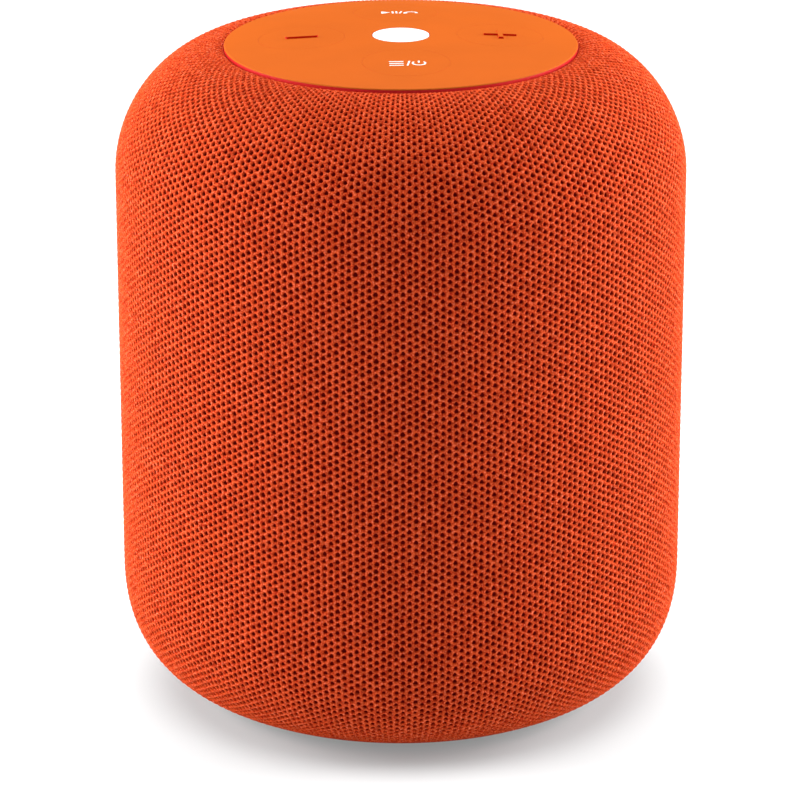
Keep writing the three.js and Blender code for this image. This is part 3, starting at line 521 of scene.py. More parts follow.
class KnitPattern:
    """Hexagonal cells of open knit, in columns round the drum with every other column half a cell up."""

    # Shares of the cell's height
    ridge_lift = 0.035
    lip_radius, lip_depth = 0.36, 0.10
    throat_radius, throat_depth = 0.255, 0.46
    squeeze = 1.6              # how fast openings narrow where the columns crowd together
    # How far openings vary in size and drift from their places, as shares of the cell
    size_jitter, turn_drift, along_drift = 0.045, 0.04, 0.03
    seed = 7
    # Each opening is a drop: sideways and upward shares at the right, upper right, upper left and so on
    drop_wide = np.array([1.0, 0.72, 0.72, 1.0, 1.1, 1.1])
    drop_tall = np.array([0.0, 1.1, 1.1, 0.0, 0.88, 0.88])
    drop_shift = np.array([-0.12, 0.0, 0.0, -0.12, 0.0, 0.0])

    def __init__(self, sizes):
        self.outline = Outline(sizes)
        self.columns = sizes.knit_columns
        self.step = 2 * math.pi / self.columns
        self.corner_reach = self.step * 2 / 3
        pitch = sizes.body_radius * self.step / math.cos(math.pi / 6)
        self.rows = round(self.outline.length / pitch)
        self.pitch = self.outline.length / self.rows
        self.body_radius = sizes.body_radius

    def centres(self, first, last):
        """Column, row, angle and way along the outline of every cell in a range of rows."""
        column, row = np.meshgrid(np.arange(self.columns), np.arange(first, last), indexing="ij")
        turn = column * self.step
        along = (row + 0.25 + 0.5 * (column % 2)) * self.pitch
        return column, row, turn, along

    def corners(self):
        """The cell corners: each cell keeps its own right and left one, with a spare row at each end."""
        _, _, turn, along = self.centres(-1, self.rows + 1)
        both = [self.outline.point(turn + side * self.corner_reach, along, side * self.ridge_lift * self.pitch)
                for side in (1, -1)]
        return np.stack(both, 2)

    def rings(self, turn, along):
        """The lip and the throat of each opening: angles, ways along the outline, and points."""
        rng = np.random.default_rng(self.seed)
        crowd = self.outline.radius(along) / self.body_radius
        size = 1 + self.size_jitter * rng.standard_normal(turn.shape)
        turn = turn + self.turn_drift * self.step * rng.standard_normal(turn.shape)
        along = along + self.along_drift * self.pitch * rng.standard_normal(turn.shape)
        angles = np.arange(6) * math.pi / 3
        across = np.cos(angles) * self.drop_wide
        upward = np.sin(angles) * self.drop_tall + self.drop_shift
        for radius, depth in ((self.lip_radius, self.lip_depth), (self.throat_radius, self.throat_depth)):
            wide = radius * self.step / math.cos(math.pi / 6) * size * crowd ** (self.squeeze - 1)
            tall = radius * self.pitch * size
            t = turn[..., None] + wide[..., None] * across
            s = along[..., None] + tall[..., None] * upward
            yield t, s, self.outline.point(t, s, -depth * self.pitch)


def cell_corners(column, row, columns, rows):
    """Indices of the six corners round each cell, from its right one on, among KnitPattern.corners()."""
    right, left = 0, 1

    def index(c, r, side):
        return ((c % columns) * (rows + 2) + (r + 1)) * 2 + side

    up = row + column % 2
    down = up - 1
    return np.stack([
        index(column, row, right), index(column + 1, up, left), index(column - 1, up, right),
        index(column, row, left), index(column - 1, down, right), index(column + 1, down, left),
    ], -1)


def knit_mesh(sizes):
    """The knit's points, quads, depths and flat layout, with twelve quads round each opening."""
    pattern = KnitPattern(sizes)
    columns, rows, length = pattern.columns, pattern.rows, pattern.outline.length
    column, row, turn, along = pattern.centres(0, rows)
    lips, throats = pattern.rings(turn, along)
    corners = pattern.corners().reshape(-1, 3)
    per_ring = columns * rows * 6
    points = np.concatenate([corners, lips[2].reshape(-1, 3), throats[2].reshape(-1, 3)])
    depth = np.concatenate([np.zeros(len(corners)), np.full(per_ring, LIP_SHADE), np.ones(per_ring)])

    cell = np.arange(columns * rows).reshape(columns, rows)
    lip = len(corners) + cell[..., None] * 6 + np.arange(6)
    index = {"corner": cell_corners(column, row, columns, rows), "lip": lip, "throat": lip + per_ring}
    corner_turn = turn[..., None] + pattern.corner_reach * np.array([1, 0.5, -0.5, -1, -0.5, 0.5])
    corner_along = along[..., None] + pattern.pitch / 2 * np.array([0, 1, 1, 0, -1, -1])
    flat = {"corner": (corner_turn, corner_along.clip(0, length)), "lip": lips[:2], "throat": throats[:2]}

    height = pattern.outline.point(turn, along, 0)[..., 2]
    shown = ~in_port_window(turn, height, KNIT_PORT_MARGIN)
    quads, unwrapped = [], []
    for outer, inner in (("corner", "lip"), ("lip", "throat")):
        for k in range(6):
            n = (k + 1) % 6
            order = ((outer, k), (outer, n), (inner, n), (inner, k))
            quads.append(np.stack([index[ring][..., i][shown] for ring, i in order], -1))
            unwrapped.append(np.stack([
                np.stack([way[..., i][shown] for way in flat[ring]], -1) for ring, i in order
            ], 1))
    layout = np.concatenate(unwrapped).reshape(-1, 2)
    layout[:, 0] = (layout[:, 0] + pattern.step) / (2 * math.pi + 2 * pattern.step)
    layout[:, 1] /= length
    return points, np.concatenate(quads), depth, layout, pattern.outline


def bulk_mesh(name, points, faces, layout=None):
    """A mesh object straight from arrays of points and quads, and the indices of the points that it uses."""
    used, faces = np.unique(faces, return_inverse=True)
    faces = faces.reshape(-1, 4)
    mesh = bpy.data.meshes.new(name)
    mesh.vertices.add(len(used))
    mesh.vertices.foreach_set("co", points[used].astype(np.float32).ravel())
    mesh.loops.add(faces.size)
    mesh.loops.foreach_set("vertex_index", faces.astype(np.int32).ravel())
    mesh.polygons.add(len(faces))
    mesh.polygons.foreach_set("loop_start", np.arange(0, faces.size, 4, dtype=np.int32))
    mesh.polygons.foreach_set("loop_total", np.full(len(faces), 4, dtype=np.int32))
    mesh.polygons.foreach_set("use_smooth", np.ones(len(faces), dtype=bool))
    if layout is not None:
        layer = mesh.uv_layers.new(name="OFBake")
        layer.data.foreach_set("uv", np.clip(layout, 0, 1).astype(np.float32).ravel())
    mesh.update(calc_edges=True)
    made = bpy.data.objects.new(name, mesh)
    bpy.context.scene.collection.objects.link(made)
    return made, used


def cut_size(outline, radius):
    """Width, length and area of the cloth that covers an outline, cut to lie flat."""
    width, length = 2 * math.pi * radius, outline.length
    radii = outline.radius(np.linspace(0, length, 200))
    return (width, length), 2 * math.pi * float(radii.mean()) * length


TONE_SEED = 11


def build_knit(sizes, colours):
    points, faces, depth, layout, outline = knit_mesh(sizes)
    made, used = bulk_mesh("knit_sleeve", points, faces, layout)
    tone = np.random.default_rng(TONE_SEED).random(len(used))
    for name, values in (("knit_depth", depth[used]), ("yarn_tone", tone)):
        made.data.attributes.new(name, "FLOAT", "POINT").data.foreach_set("value", values.astype(np.float32))
    made.visible_diffuse = False         # so that it casts no orange light on the floor
    finish_piece(made, knit_finish(colours), HOUSING, "fabric_orange", ["fabric_sleeve"])
    flat, area = cut_size(outline, sizes.body_radius)
    hems = build_hems(sizes, colours)


def build_hems(sizes, colours):
    """Tape that binds the fabric's two edges."""
    outline = Outline(sizes)
    thickness, depth, behind = 0.35 * MM, 0.9 * MM, 0.06 * MM
    outer_corner, crest, inner_corner = 0.1 * MM, 0.03 * MM, 0.08 * MM
    tape = hem_finish(colours)
    hems = []
    for name, end, up in (("hem_top", -1, 1), ("hem_bottom", 0, -1)):
        r, z = outline.r[end], outline.z[end]
        near, far = r - behind, r + thickness
        made = turned(name, [
            (near, z - up * depth), (far, z - up * depth), (far, z - up * outer_corner),
            (r + thickness / 2, z + up * crest), (near, z - up * inner_corner),
        ], 256)
        sharpened(made, 50)
        hems.append(finish_piece(made, tape, HOUSING, "fabric_orange"))
    return hems


def build_lining(sizes, colours):
    """Thin cloth right behind the knit, with its two sides joined round its edges."""
    inset, thickness = 1.0 * MM, 0.5 * MM
    outline = Outline(sizes, inset=inset)
    columns, rows = 192, 96
    turn, along = np.meshgrid(
        np.arange(columns) * 2 * math.pi / columns, np.linspace(0, outline.length, rows), indexing="ij")
    front, back = outline.point(turn, along, 0), outline.point(turn, along, -thickness)
    points = np.concatenate([front.reshape(-1, 3), back.reshape(-1, 3)])
    near = ~in_port_window(turn, front[..., 2], LINING_PORT_MARGIN)
    far = np.roll(near, -1, 0)
    whole = near[:, :-1] & near[:, 1:] & far[:, :-1] & far[:, 1:]
    a = np.arange(columns * rows).reshape(columns, rows)
    b = np.roll(a, -1, 0)
    outer = np.stack([a[:, :-1], b[:, :-1], b[:, 1:], a[:, 1:]], -1)[whole]
    behind = columns * rows
    inner = outer[:, ::-1] + behind
    sides = {(int(p), int(q)) for face in outer for p, q in zip(face, np.roll(face, -1))}
    rim = np.array([(q, p, p + behind, q + behind) for p, q in sorted(sides) if (q, p) not in sides])
    made, _ = bulk_mesh("sleeve_lining", points, np.concatenate([outer, inner, rim]))
    sharpened(made, 60)
    finish_piece(made, lining_finish(colours), HOUSING, "fabric_orange")
    flat, area = cut_size(outline, sizes.body_radius - inset)


# ------------------------------------------------------------------ domed plates

class Dome:
    """Top surface of the control panel: a shallow dome with a rounded rim. Flat places are (x, y)."""

    def __init__(self, sizes):
        self.radius, self.power, self.rim = sizes.panel_radius, sizes.panel_power, sizes.panel_rim
        self.edge = sizes.fabric_top + sizes.panel_edge
        self.crown = high("light_window").z - self.edge

    def rim_drop(self, r):
        """How far the rim's rounding lies below the dome at a radius, and how steep it is there."""
        past = min(max(self.rim - (self.radius - r), 0), self.rim * ALMOST)
        level = math.sqrt(self.rim ** 2 - past ** 2)
        return self.rim - level, past / level

    def height(self, x, y):
        r = math.hypot(x, y)
        return self.edge + self.crown * (1 - (r / self.radius) ** self.power) - self.rim_drop(r)[0]

    def top(self, x, y, lift=0.0):
        return x, y, self.height(x, y) + lift

    def under(self, x, y, bottom):
        return x, y, bottom

    def normal(self, x, y):
        r = math.hypot(x, y)
        if r < SAME_PLACE:
            return Vector((0, 0, 1))
        slope = self.power * self.crown * (r / self.radius) ** self.power / r + self.rim_drop(r)[1]
        return Vector((slope * x / r, slope * y / r, 1)).normalized()


def circle(centre, radius, count, start=0.0):
    """Outline of a circle."""
    return [(centre[0] + radius * math.cos(start + 2 * math.pi * i / count),
             centre[1] + radius * math.sin(start + 2 * math.pi * i / count)) for i in range(count)]


def bar(centre, length, width, angle=0.0, corner=6):
    """Outline of a bar with round ends."""
    half, radius = (length - width) / 2, width / 2
    local = []
    for side in (1, -1):
        for i in range(corner + 1):
            a = (-math.pi / 2 + math.pi * i / corner) + (0 if side == 1 else math.pi)
            local.append((side * half + radius * math.cos(a), radius * math.sin(a)))
    c, s = math.cos(angle), math.sin(angle)
    return [(centre[0] + x * c - y * s, centre[1] + x * s + y * c) for x, y in local]


def cross(centre, level, upright, width):
    """Outline of a plus sign with a level stroke and an upright one."""
    a, b, c = level / 2, width / 2, upright / 2
    half = [(a, -b), (a, b), (b, b), (b, c), (-b, c), (-b, b)]
    return [(centre[0] + side * x, centre[1] + side * y) for side in (1, -1) for x, y in half]


def inside_loop(loop, x, y):
    """Whether a place lies inside a closed outline."""
    hit = False
    for (x0, y0), (x1, y1) in zip(loop, loop[1:] + loop[:1]):
        if (y0 > y) != (y1 > y) and x < (x1 - x0) * (y - y0) / (y1 - y0) + x0:
            hit = not hit
    return hit


SAME_FLAT_PLACE = 1e-8     # metres within which two points of a flat outline are one


class Plate:
    """A plate whose top follows a dome, cut out of flat outlines, with through holes and raised marks."""

    def __init__(self, dome, outer, holes=(), marks=(), filling=(), rise=0.0):
        self.dome, self.rise = dome, rise
        self.outer, self.holes = outer, holes
        flat, edges = [], []
        for loop in (outer, *holes, *marks):
            first = len(flat)
            flat += loop
            edges += [(first + i, first + (i + 1) % len(loop)) for i in range(len(loop))]
        flat += [p for p in filling if self.solid(*p)]
        points, _, triangles, *_ = delaunay_2d_cdt([Vector(p) for p in flat], edges, [], 0, SAME_FLAT_PLACE)
        self.flat = [(p.x, p.y) for p in points]
        self.triangles = []
        for triangle in triangles:
            x = sum(self.flat[i][0] for i in triangle) / 3
            y = sum(self.flat[i][1] for i in triangle) / 3
            if self.solid(x, y):
                marked = any(inside_loop(mark, x, y) for mark in marks)
                self.triangles.append((tuple(triangle), "raised" if marked else "top"))

    def solid(self, x, y):
        return inside_loop(self.outer, x, y) and not any(inside_loop(hole, x, y) for hole in self.holes)

    def build(self, name, bottom):
        """Makes the object. Its outer walls are its second material, and the marks' walls its third."""
        points, faces, kinds, normals, index = [], [], [], [], {}

        def vertex(i, level):
            if (i, level) not in index:
                index[i, level] = len(points)
                if level == "under":
                    points.append(self.dome.under(*self.flat[i], bottom))
                else:
                    points.append(self.dome.top(*self.flat[i], self.rise if level == "raised" else 0.0))
            return index[i, level]

        def face(ids, kind, face_normals):
            faces.append(ids)
            kinds.append(kind)
            normals.extend(face_normals)

        def wall(a, b, upper, lower, kind):
            ids = [vertex(b, upper), vertex(a, upper), vertex(a, lower), vertex(b, lower)]
            p, q, r = (Vector(points[i]) for i in ids[:3])
            across = (q - p).cross(r - p).normalized()
            face(ids, kind, [across] * 4)

        sides = {}
        for triangle, level in self.triangles:
            upright = [self.dome.normal(*self.flat[i]) for i in triangle]
            face([vertex(i, level) for i in triangle], 0, upright)
            face([vertex(i, "under") for i in reversed(triangle)], 0, [-normal for normal in upright])
            for a, b in zip(triangle, triangle[1:] + triangle[:1]):
                sides[a, b] = level
        for (a, b), level in sides.items():
            other = sides.get((b, a))
            if other is None:
                wall(a, b, level, "under", 1)
            elif level == "raised" and other == "top":
                wall(a, b, "raised", "top", 2)
        made = mesh_object(name, points, faces)
        made.data.polygons.foreach_set("material_index", kinds)
        made.data.normals_split_custom_set(normals)
        return made


def dome_filling(radius, rings, count, centre=(0, 0)):
    """Points spread over a round area, so that a dome on it is smooth."""
    found = [tuple(centre)]
    turn_of_ring = 0.37                  # radians, so that neighbouring rings don't line up
    for k in range(1, rings):
        found += circle(centre, radius * k / rings, max(6, round(count * k / rings)), turn_of_ring * k)
    return found


def key_centre(sizes, name):
    place = middle(f"key_{name}")
    angle = math.atan2(place.y, place.x)
    return sizes.key_circle * math.cos(angle), sizes.key_circle * math.sin(angle)


ROUND_STEPS, HOLE_STEPS, RIM_STEPS = 256, 96, 5
CAP_DEPTH = 2 * MM         # from the panel's underside to the underside of the keys and the window


def build_panel(sizes, colours):
    """The panel, with holes for the keys and the window."""
    dome = Dome(sizes)
    filling = dome_filling(dome.radius - dome.rim, rings=26, count=150)
    for step in range(RIM_STEPS):
        inset = dome.rim * (1 - math.sin(math.pi / 2 * step / RIM_STEPS))
        filling += circle((0, 0), dome.radius - inset, ROUND_STEPS)
    key_hole = sizes.key_radius + sizes.key_gap
    holes = [circle(key_centre(sizes, name), key_hole, HOLE_STEPS) for name in KEY_NAMES]
    holes.append(circle((0, 0), sizes.window_radius + sizes.window_gap, HOLE_STEPS))
    outline = circle((0, 0), dome.radius - 0.1 * SAME_PLACE, ROUND_STEPS)
    made = Plate(dome, outline, holes=holes, filling=filling).build("control_panel", low("control_skin").z)
    finish_piece(made, silicone_finish(colours), HOUSING, "silicone_orange", ["control_skin"])
    # The side walls take the painted shade colour, a shaded copy of the silicone.
    made.data.materials.append(wall_finish("panel_side_painted_shade", colours.panel_side_painted_shade))


def round_cap(name, sizes, centre, radius, **marks):
    """A round piece of the dome: a key or the light window."""
    filling = dome_filling(radius, rings=8, count=48, centre=centre)
    plate = Plate(Dome(sizes), circle(centre, radius, HOLE_STEPS), filling=filling, **marks)
    return plate.build(name, low("control_skin").z - CAP_DEPTH)


def build_keys(sizes, colours):
    # The marks' walls take a painted shade colour, a shaded copy of the silicone.
    mark_wall_painted_shade = wall_finish("mark_wall_painted_shade", colours.mark)
    for name in KEY_NAMES:
        centre = key_centre(sizes, name)
        marks = []
        if name == "volume_down":
            marks = [bar(centre, sizes.mark_length, sizes.mark_width)]
        if name == "volume_up":
            marks = [cross(centre, sizes.mark_length, sizes.upright_length, sizes.mark_width)]
        made = round_cap(f"cap_{name}", sizes, centre, sizes.key_radius, marks=marks, rise=sizes.mark_height)
        silicone = bpy.data.materials["orange_silicone"]
        finish_piece(made, silicone, f"key_{name}_cap", "silicone_orange", [f"key_{name}"])
        # The key's side walls take the same painted shade colour.
        made.data.materials.append(bpy.data.materials["panel_side_painted_shade"])
        made.data.materials.append(mark_wall_painted_shade)


def build_window(sizes):
    made = round_cap("light_disc", sizes, (0, 0), sizes.window_radius)
    finish_piece(made, opal_finish(), HOUSING, "opal", ["light_window"])


# ------------------------------------------------------------------ printed symbols

class Symbol:
    """A printed symbol, made of flat outlines on the dome, and drawn in millimetres about its own middle."""

    ink_thickness = 0.03 * MM

    def __init__(self, sizes, name, centre):
        self.dome, self.name, self.centre = Dome(sizes), name, centre
        self.outlines = []

    def add(self, outline):
        self.outlines.append([(self.centre[0] + x * MM, self.centre[1] + y * MM) for x, y in outline])

    def ribbon(self, line, width):
        """A stroke of even width along a line of points."""
        sides = [[], []]
        for i, (x, y) in enumerate(line):
            before, after = line[max(i - 1, 0)], line[min(i + 1, len(line) - 1)]
            along = Vector((after[0] - before[0], after[1] - before[1])).normalized()
            sides[0].append((x - along.y * width / 2, y + along.x * width / 2))
            sides[1].append((x + along.y * width / 2, y - along.x * width / 2))
        self.add(sides[1] + sides[0][::-1])

    def build(self, material, body):
        points, faces = [], []
        for outline in self.outlines:
            flat, _, triangles, *_ = delaunay_2d_cdt(
                [Vector(p) for p in outline],
                [(i, (i + 1) % len(outline)) for i in range(len(outline))], [], 1, 1e-9)
            first = len(points)
            heights = [self.dome.height(p.x, p.y) for p in flat]
            points += [(p.x, p.y, h + self.ink_thickness) for p, h in zip(flat, heights)]
            points += [(p.x, p.y, h - self.ink_thickness) for p, h in zip(flat, heights)]
            count, used = len(flat), {}
            for t in triangles:
                faces.append([first + i for i in t])
                faces.append([first + count + i for i in reversed(t)])
                for a, b in zip(t, list(t[1:]) + [t[0]]):
                    used[(a, b)] = True
            for a, b in used:
                if (b, a) not in used:
                    faces.append([first + b, first + a, first + count + a, first + count + b])
        made = mesh_object(self.name, points, faces, smooth=False)
        return finish_piece(made, material, body)


def arc_line(centre, radius, start, end, steps=14):
    return [(centre[0] + radius * math.cos(start + (end - start) * i / steps),
             centre[1] + radius * math.sin(start + (end - start) * i / steps)) for i in range(steps + 1)]


def build_symbols(sizes, colours):
    ink = ink_finish(colours)
    slash = [(-0.27, -1.0), (0.27, 1.0)]

    x, y = key_centre(sizes, "play")
    play = Symbol(sizes, "symbol_play", (x + 0.72 * MM, y - 0.5 * MM))
    play.add([(-3.85, -1.1), (-1.95, 0), (-3.85, 1.1)])
    for at in (-1.42, -0.62):
        play.ribbon([(at, -1.0), (at, 1.0)], 0.4)
    play.ribbon([(px + 0.25, py) for px, py in slash], 0.34)
    play.ribbon(arc_line((2.45, -1.1), 1.55, math.radians(165), math.radians(30)), 0.42)
    play.add(bar((1.25, -0.8), 0.95, 0.62, math.radians(35)))
    play.add(bar((3.6, -0.55), 0.8, 0.55, math.radians(-50)))
    play.build(ink, "key_play_cap")

    x, y = key_centre(sizes, "mode")
    mode = Symbol(sizes, "symbol_mode", (x + 0.4 * MM, y - 1.2 * MM))
    for at in (1.25, 0, -1.25):
        mode.add(bar((-2.45, at), 3.0, 0.42))
    mode.ribbon([(px, py * 1.5) for px, py in slash], 0.36)
    mode.ribbon(arc_line((2.15, 0.1), 1.3, math.radians(140), math.radians(400), 24), 0.36)
    mode.ribbon([(2.15, 0.3), (2.15, 1.6)], 0.36)
    mode.build(ink, "key_mode_cap")


# ------------------------------------------------------------------ sockets

class DrumFace:
    """A face that follows the drum's wall at the back. Flat places are (sideways, height)."""

    def __init__(self, radius, outline, rim, rise):
        self.radius, self.outline, self.rim, self.rise = radius, outline, rim, rise

    def inside(self, x, z):
        """How far a place is inside the rounded rectangle (centre, half sizes, corner radius)."""
        (cx, cz), (hx, hz), corner = self.outline
        dx, dz = abs(x - cx) - (hx - corner), abs(z - cz) - (hz - corner)
        return corner - math.hypot(max(dx, 0), max(dz, 0)) - min(max(dx, dz), 0)

    def place(self, x, z, radius):
        """A flat place on the drum's back, where sideways runs against X."""
        angle = math.pi / 2 + x / self.radius
        return radius * math.cos(angle), radius * math.sin(angle), z

    def top(self, x, z, lift=0.0):
        past = min(max(self.rim - self.inside(x, z), 0), self.rim)
        drop = self.rim - math.sqrt(self.rim ** 2 - past ** 2)
        return self.place(x, z, self.radius + self.rise + lift - drop)

    def under(self, x, z, inner):
        return self.place(x, z, inner)

    def normal(self, x, z):
        return Vector(self.place(x, 0, 1))


def rounded_rectangle(centre, half, corner, steps=8):
    points = []
    for quarter, (sx, sz) in enumerate(((1, 1), (-1, 1), (-1, -1), (1, -1))):
        for i in range(steps + 1):
            angle = math.pi / 2 * (quarter + i / steps)
            points.append((centre[0] + sx * (half[0] - corner) + corner * math.cos(angle),
                           centre[1] + sz * (half[1] - corner) + corner * math.sin(angle)))
    return points


def split_long(loop, reach):
    """The loop with extra points on its long straight sides, so that it can follow the drum."""
    points = []
    for a, b in zip(loop, loop[1:] + loop[:1]):
        count = max(1, math.ceil(math.dist(a, b) / reach))
        points += [(a[0] + (b[0] - a[0]) * i / count, a[1] + (b[1] - a[1]) * i / count) for i in range(count)]
    return points


def slot_outline(centre, half):
    """Outline of a slot with round ends."""
    return rounded_rectangle(centre, half, half[1] * ALMOST, 10)


def on_flat(node):
    """Middle of a node on the socket panel's flat outline, where sideways runs against X."""
    place = middle(node)
    return -place.x, place.z


def build_port_panel(sizes):
    """Panel with a narrow flange over the fabric's cut edge, and holes for the sockets."""
    lowest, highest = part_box("port_panel")
    centre = (0.0, (lowest.z + highest.z) / 2)
    half = (highest.x + sizes.port_flange, (highest.z - lowest.z) / 2 + sizes.port_flange)
    corner, rim, rise, thickness = 2.2 * MM, 0.5 * MM, 0.55 * MM, 2.2 * MM
    face = DrumFace(sizes.body_radius, (centre, half, corner), rim, rise)

    plug_room, jack_hole, microphone_hole = 0.25 * MM, 3.15 * MM, 0.55 * MM
    usb_low, usb_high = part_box("usb_c_socket")
    usb_half = ((usb_high.x - usb_low.x) / 2 + plug_room, (usb_high.z - usb_low.z) / 2 + plug_room)
    holes = [
        slot_outline(on_flat("usb_c_socket"), usb_half),
        circle(on_flat("aux_jack"), jack_hole, 64),
        circle(on_flat("microphone"), microphone_hole, 24),
    ]

    steps, reach = 5, 1.0 * MM
    insets = [rim * (1 - math.sin(math.pi / 2 * (1 - k / steps))) for k in range(1, steps)] + [rim]
    filling = []
    for inset in insets:
        inner = rounded_rectangle(centre, (half[0] - inset, half[1] - inset), corner - inset)
        filling += split_long(inner, reach)
    columns, rows = 28, 5
    wide, tall = half[0] * 0.96, half[1] * 0.85
    filling += [(wide * (2 * i / columns - 1), centre[1] + tall * (2 * j / (rows - 1) - 1))
                for i in range(columns + 1) for j in range(rows)]
    outline = split_long(rounded_rectangle(centre, half, corner), reach)
    plate = Plate(face, outline, holes=holes, filling=filling)
    made = plate.build("socket_panel", sizes.body_radius - thickness)
    plastic = moulded_finish("panel_plastic", (0.012, 0.012, 0.013))
    finish_piece(made, plastic, HOUSING, "plastic_black", ["port_panel"])


def stadium_ring(centre, half, wall, front, back, lip):
    """Sections of a tube with a slot shaped mouth, from its front lip inwards."""
    ease = lip * 0.4
    outside = ((0.0, back), (0.0, front - lip), (ease, front))
    inside = ((wall - ease, front), (wall, front - lip), (wall, back))
    loops = []
    for inset, depth in outside + inside:
        outline = slot_outline(centre, (half[0] - inset, half[1] - inset))
        loops.append([(x, depth, z) for x, z in outline])
    return loops


def loft(name, loops):
    """Sections joined up in a ring, the last one to the first."""
    points = [p for loop in loops for p in loop]
    count, faces = len(loops[0]), []
    for k in range(len(loops)):
        a, b = k * count, (k + 1) % len(loops) * count
        faces += [(a + i, a + (i + 1) % count, b + (i + 1) % count, b + i) for i in range(count)]
    made = mesh_object(name, points, faces)
    weld(made)
    return made


def span(place, half):
    """The two ends of a length about its middle."""
    return place - half, place + half


def rounded_block(name, x, y, z, radius=0.15 * MM, segments=2):
    """A block with rounded edges that fills three spans, each given as (lowest, highest)."""
    lowest, highest = (Vector(corner) for corner in zip(x, y, z))
    mesh = bmesh.new()
    bmesh.ops.create_cube(mesh, size=1)
    place = Matrix.Translation((highest + lowest) / 2) @ Matrix.Diagonal((*(highest - lowest), 1))
    bmesh.ops.transform(mesh, matrix=place, verts=mesh.verts)
    bmesh.ops.bevel(mesh, geom=mesh.edges[:], offset=radius, segments=segments, affect="EDGES", profile=0.5)
    data = bpy.data.meshes.new(name)
    mesh.to_mesh(data)
    mesh.free()
    made = bpy.data.objects.new(name, data)
    bpy.context.scene.collection.objects.link(made)
    sharpened(made, 50)
    return made


def build_charging_socket():
    """Steel shell round a plastic tongue, with a row of contacts on each side of the tongue."""
    steel, plastic = finish_of("steel"), finish_of("plastic_black")
    lowest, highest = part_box("usb_c_socket")
    centre, half = (lowest + highest) / 2, (highest - lowest) / 2
    wall, lip = 0.32 * MM, 0.12 * MM
    shell = loft("charging_socket_shell", stadium_ring(
        (centre.x, centre.z), (half.x, half.z), wall, highest.y, lowest.y, lip))
    sharpened(shell, 40)
    finish_piece(shell, steel, HOUSING, "steel", ["usb_c_socket"])

    tongue_width, tongue_thickness, setback = 6.6 * MM, 0.7 * MM, 0.9 * MM
    tongue = rounded_block("charging_socket_tongue", span(centre.x, tongue_width / 2),
                           (lowest.y, highest.y - setback), span(centre.z, tongue_thickness / 2))
    finish_piece(tongue, plastic, HOUSING, "plastic_black", ["usb_c_socket"])
    back_gap, back_depth = 0.4 * MM, 1.2 * MM
    back = rounded_block("charging_socket_back", span(centre.x, half.x - back_gap),
                         (lowest.y, lowest.y + back_depth), span(centre.z, half.z - back_gap))
    finish_piece(back, plastic, HOUSING, "plastic_black", ["usb_c_socket"])

    contacts, pitch, width, thickness, rounding = 12, 0.5 * MM, 0.24 * MM, 0.06 * MM, 0.01 * MM
    along = (highest.y - 4.4 * MM, highest.y - 1.3 * MM)
    for level, side in (("low", -1), ("high", 1)):
        for i in range(contacts):
            x = centre.x + (i - (contacts - 1) / 2) * pitch
            z = centre.z + side * tongue_thickness / 2
            contact = rounded_block(f"charging_contact_{level}_{i + 1}", span(x, width / 2), along,
                                    span(z, thickness / 2), rounding, 1)
            finish_piece(contact, finish_of("copper"), HOUSING, "copper")


def build_audio_socket():
    """Barrel with a rounded mouth, set in a block."""
    plastic = finish_of("plastic_black")
    lowest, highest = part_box("aux_jack")
    centre = (lowest + highest) / 2
    # Radius and height over the socket's front, in millimetres: bore, rounded mouth, nose and collar
    profile = [(1.75, -6.0), (1.75, 0.05), (1.95, 0.2), (2.7, 0.2), (2.9, 0.05), (2.9, -2.4),
               (3.4, -2.4), (3.4, -6.0)]
    barrel = turned("audio_socket_barrel", [(r * MM, z * MM) for r, z in profile], 64)
    outwards = Matrix.Rotation(-math.pi / 2, 4, "X")
    barrel.data.transform(Matrix.Translation((centre.x, highest.y, centre.z)) @ outwards)
    sharpened(barrel, 40)
    finish_piece(barrel, plastic, HOUSING, "plastic_black", ["aux_jack"])
    nose, rounding = 2.8 * MM, 0.3 * MM
    body = rounded_block("audio_socket_body", (lowest.x, highest.x), (lowest.y, highest.y - nose),
                         (lowest.z, highest.z), rounding)
    finish_piece(body, plastic, HOUSING, "plastic_black", ["aux_jack"])


# ------------------------------------------------------------------ turned pieces

def meridian(node, along="Z"):
    """One side of a turned CAD node as (radius, place along its axis), and the middle that it turns about."""
    mesh = bmesh.new()
    mesh.from_mesh(frame["nodes"][node].data)
    bmesh.ops.remove_doubles(mesh, verts=mesh.verts, dist=SAME_PLACE)
    centre = middle(node)
    on_axis, same_angle = 1e-5, 2e-3
    axis = "XYZ".index(along)
    first, second = [i for i in range(3) if i != axis]

    def polar(vertex):
        a, b = vertex.co[first] - centre[first], vertex.co[second] - centre[second]
        return math.hypot(a, b), math.atan2(b, a)

    chosen = max((polar(v) for v in mesh.verts), key=lambda p: round(p[0], 6))[1]
    near = {}
    for v in mesh.verts:
        radius, angle = polar(v)
        apart = abs((angle - chosen + math.pi) % (2 * math.pi) - math.pi)
        if radius < on_axis:
            near[v.index] = (0.0, v.co[axis])
        elif apart < same_angle:
            near[v.index] = (radius, v.co[axis])
    links = {i: [] for i in near}
    for edge in mesh.edges:
        a, b = (v.index for v in edge.verts)
        if a in near and b in near:
            links[a].append(b)
            links[b].append(a)
    ends = [i for i, others in links.items() if len(others) == 1]
    walk = [ends[0] if ends else next(iter(near))]
    while True:
        onward = [i for i in links[walk[-1]] if i not in walk]
        if not onward:
            break
        walk.append(onward[0])
    profile = [near[i] for i in walk]
    mesh.free()
    return profile, centre, not ends


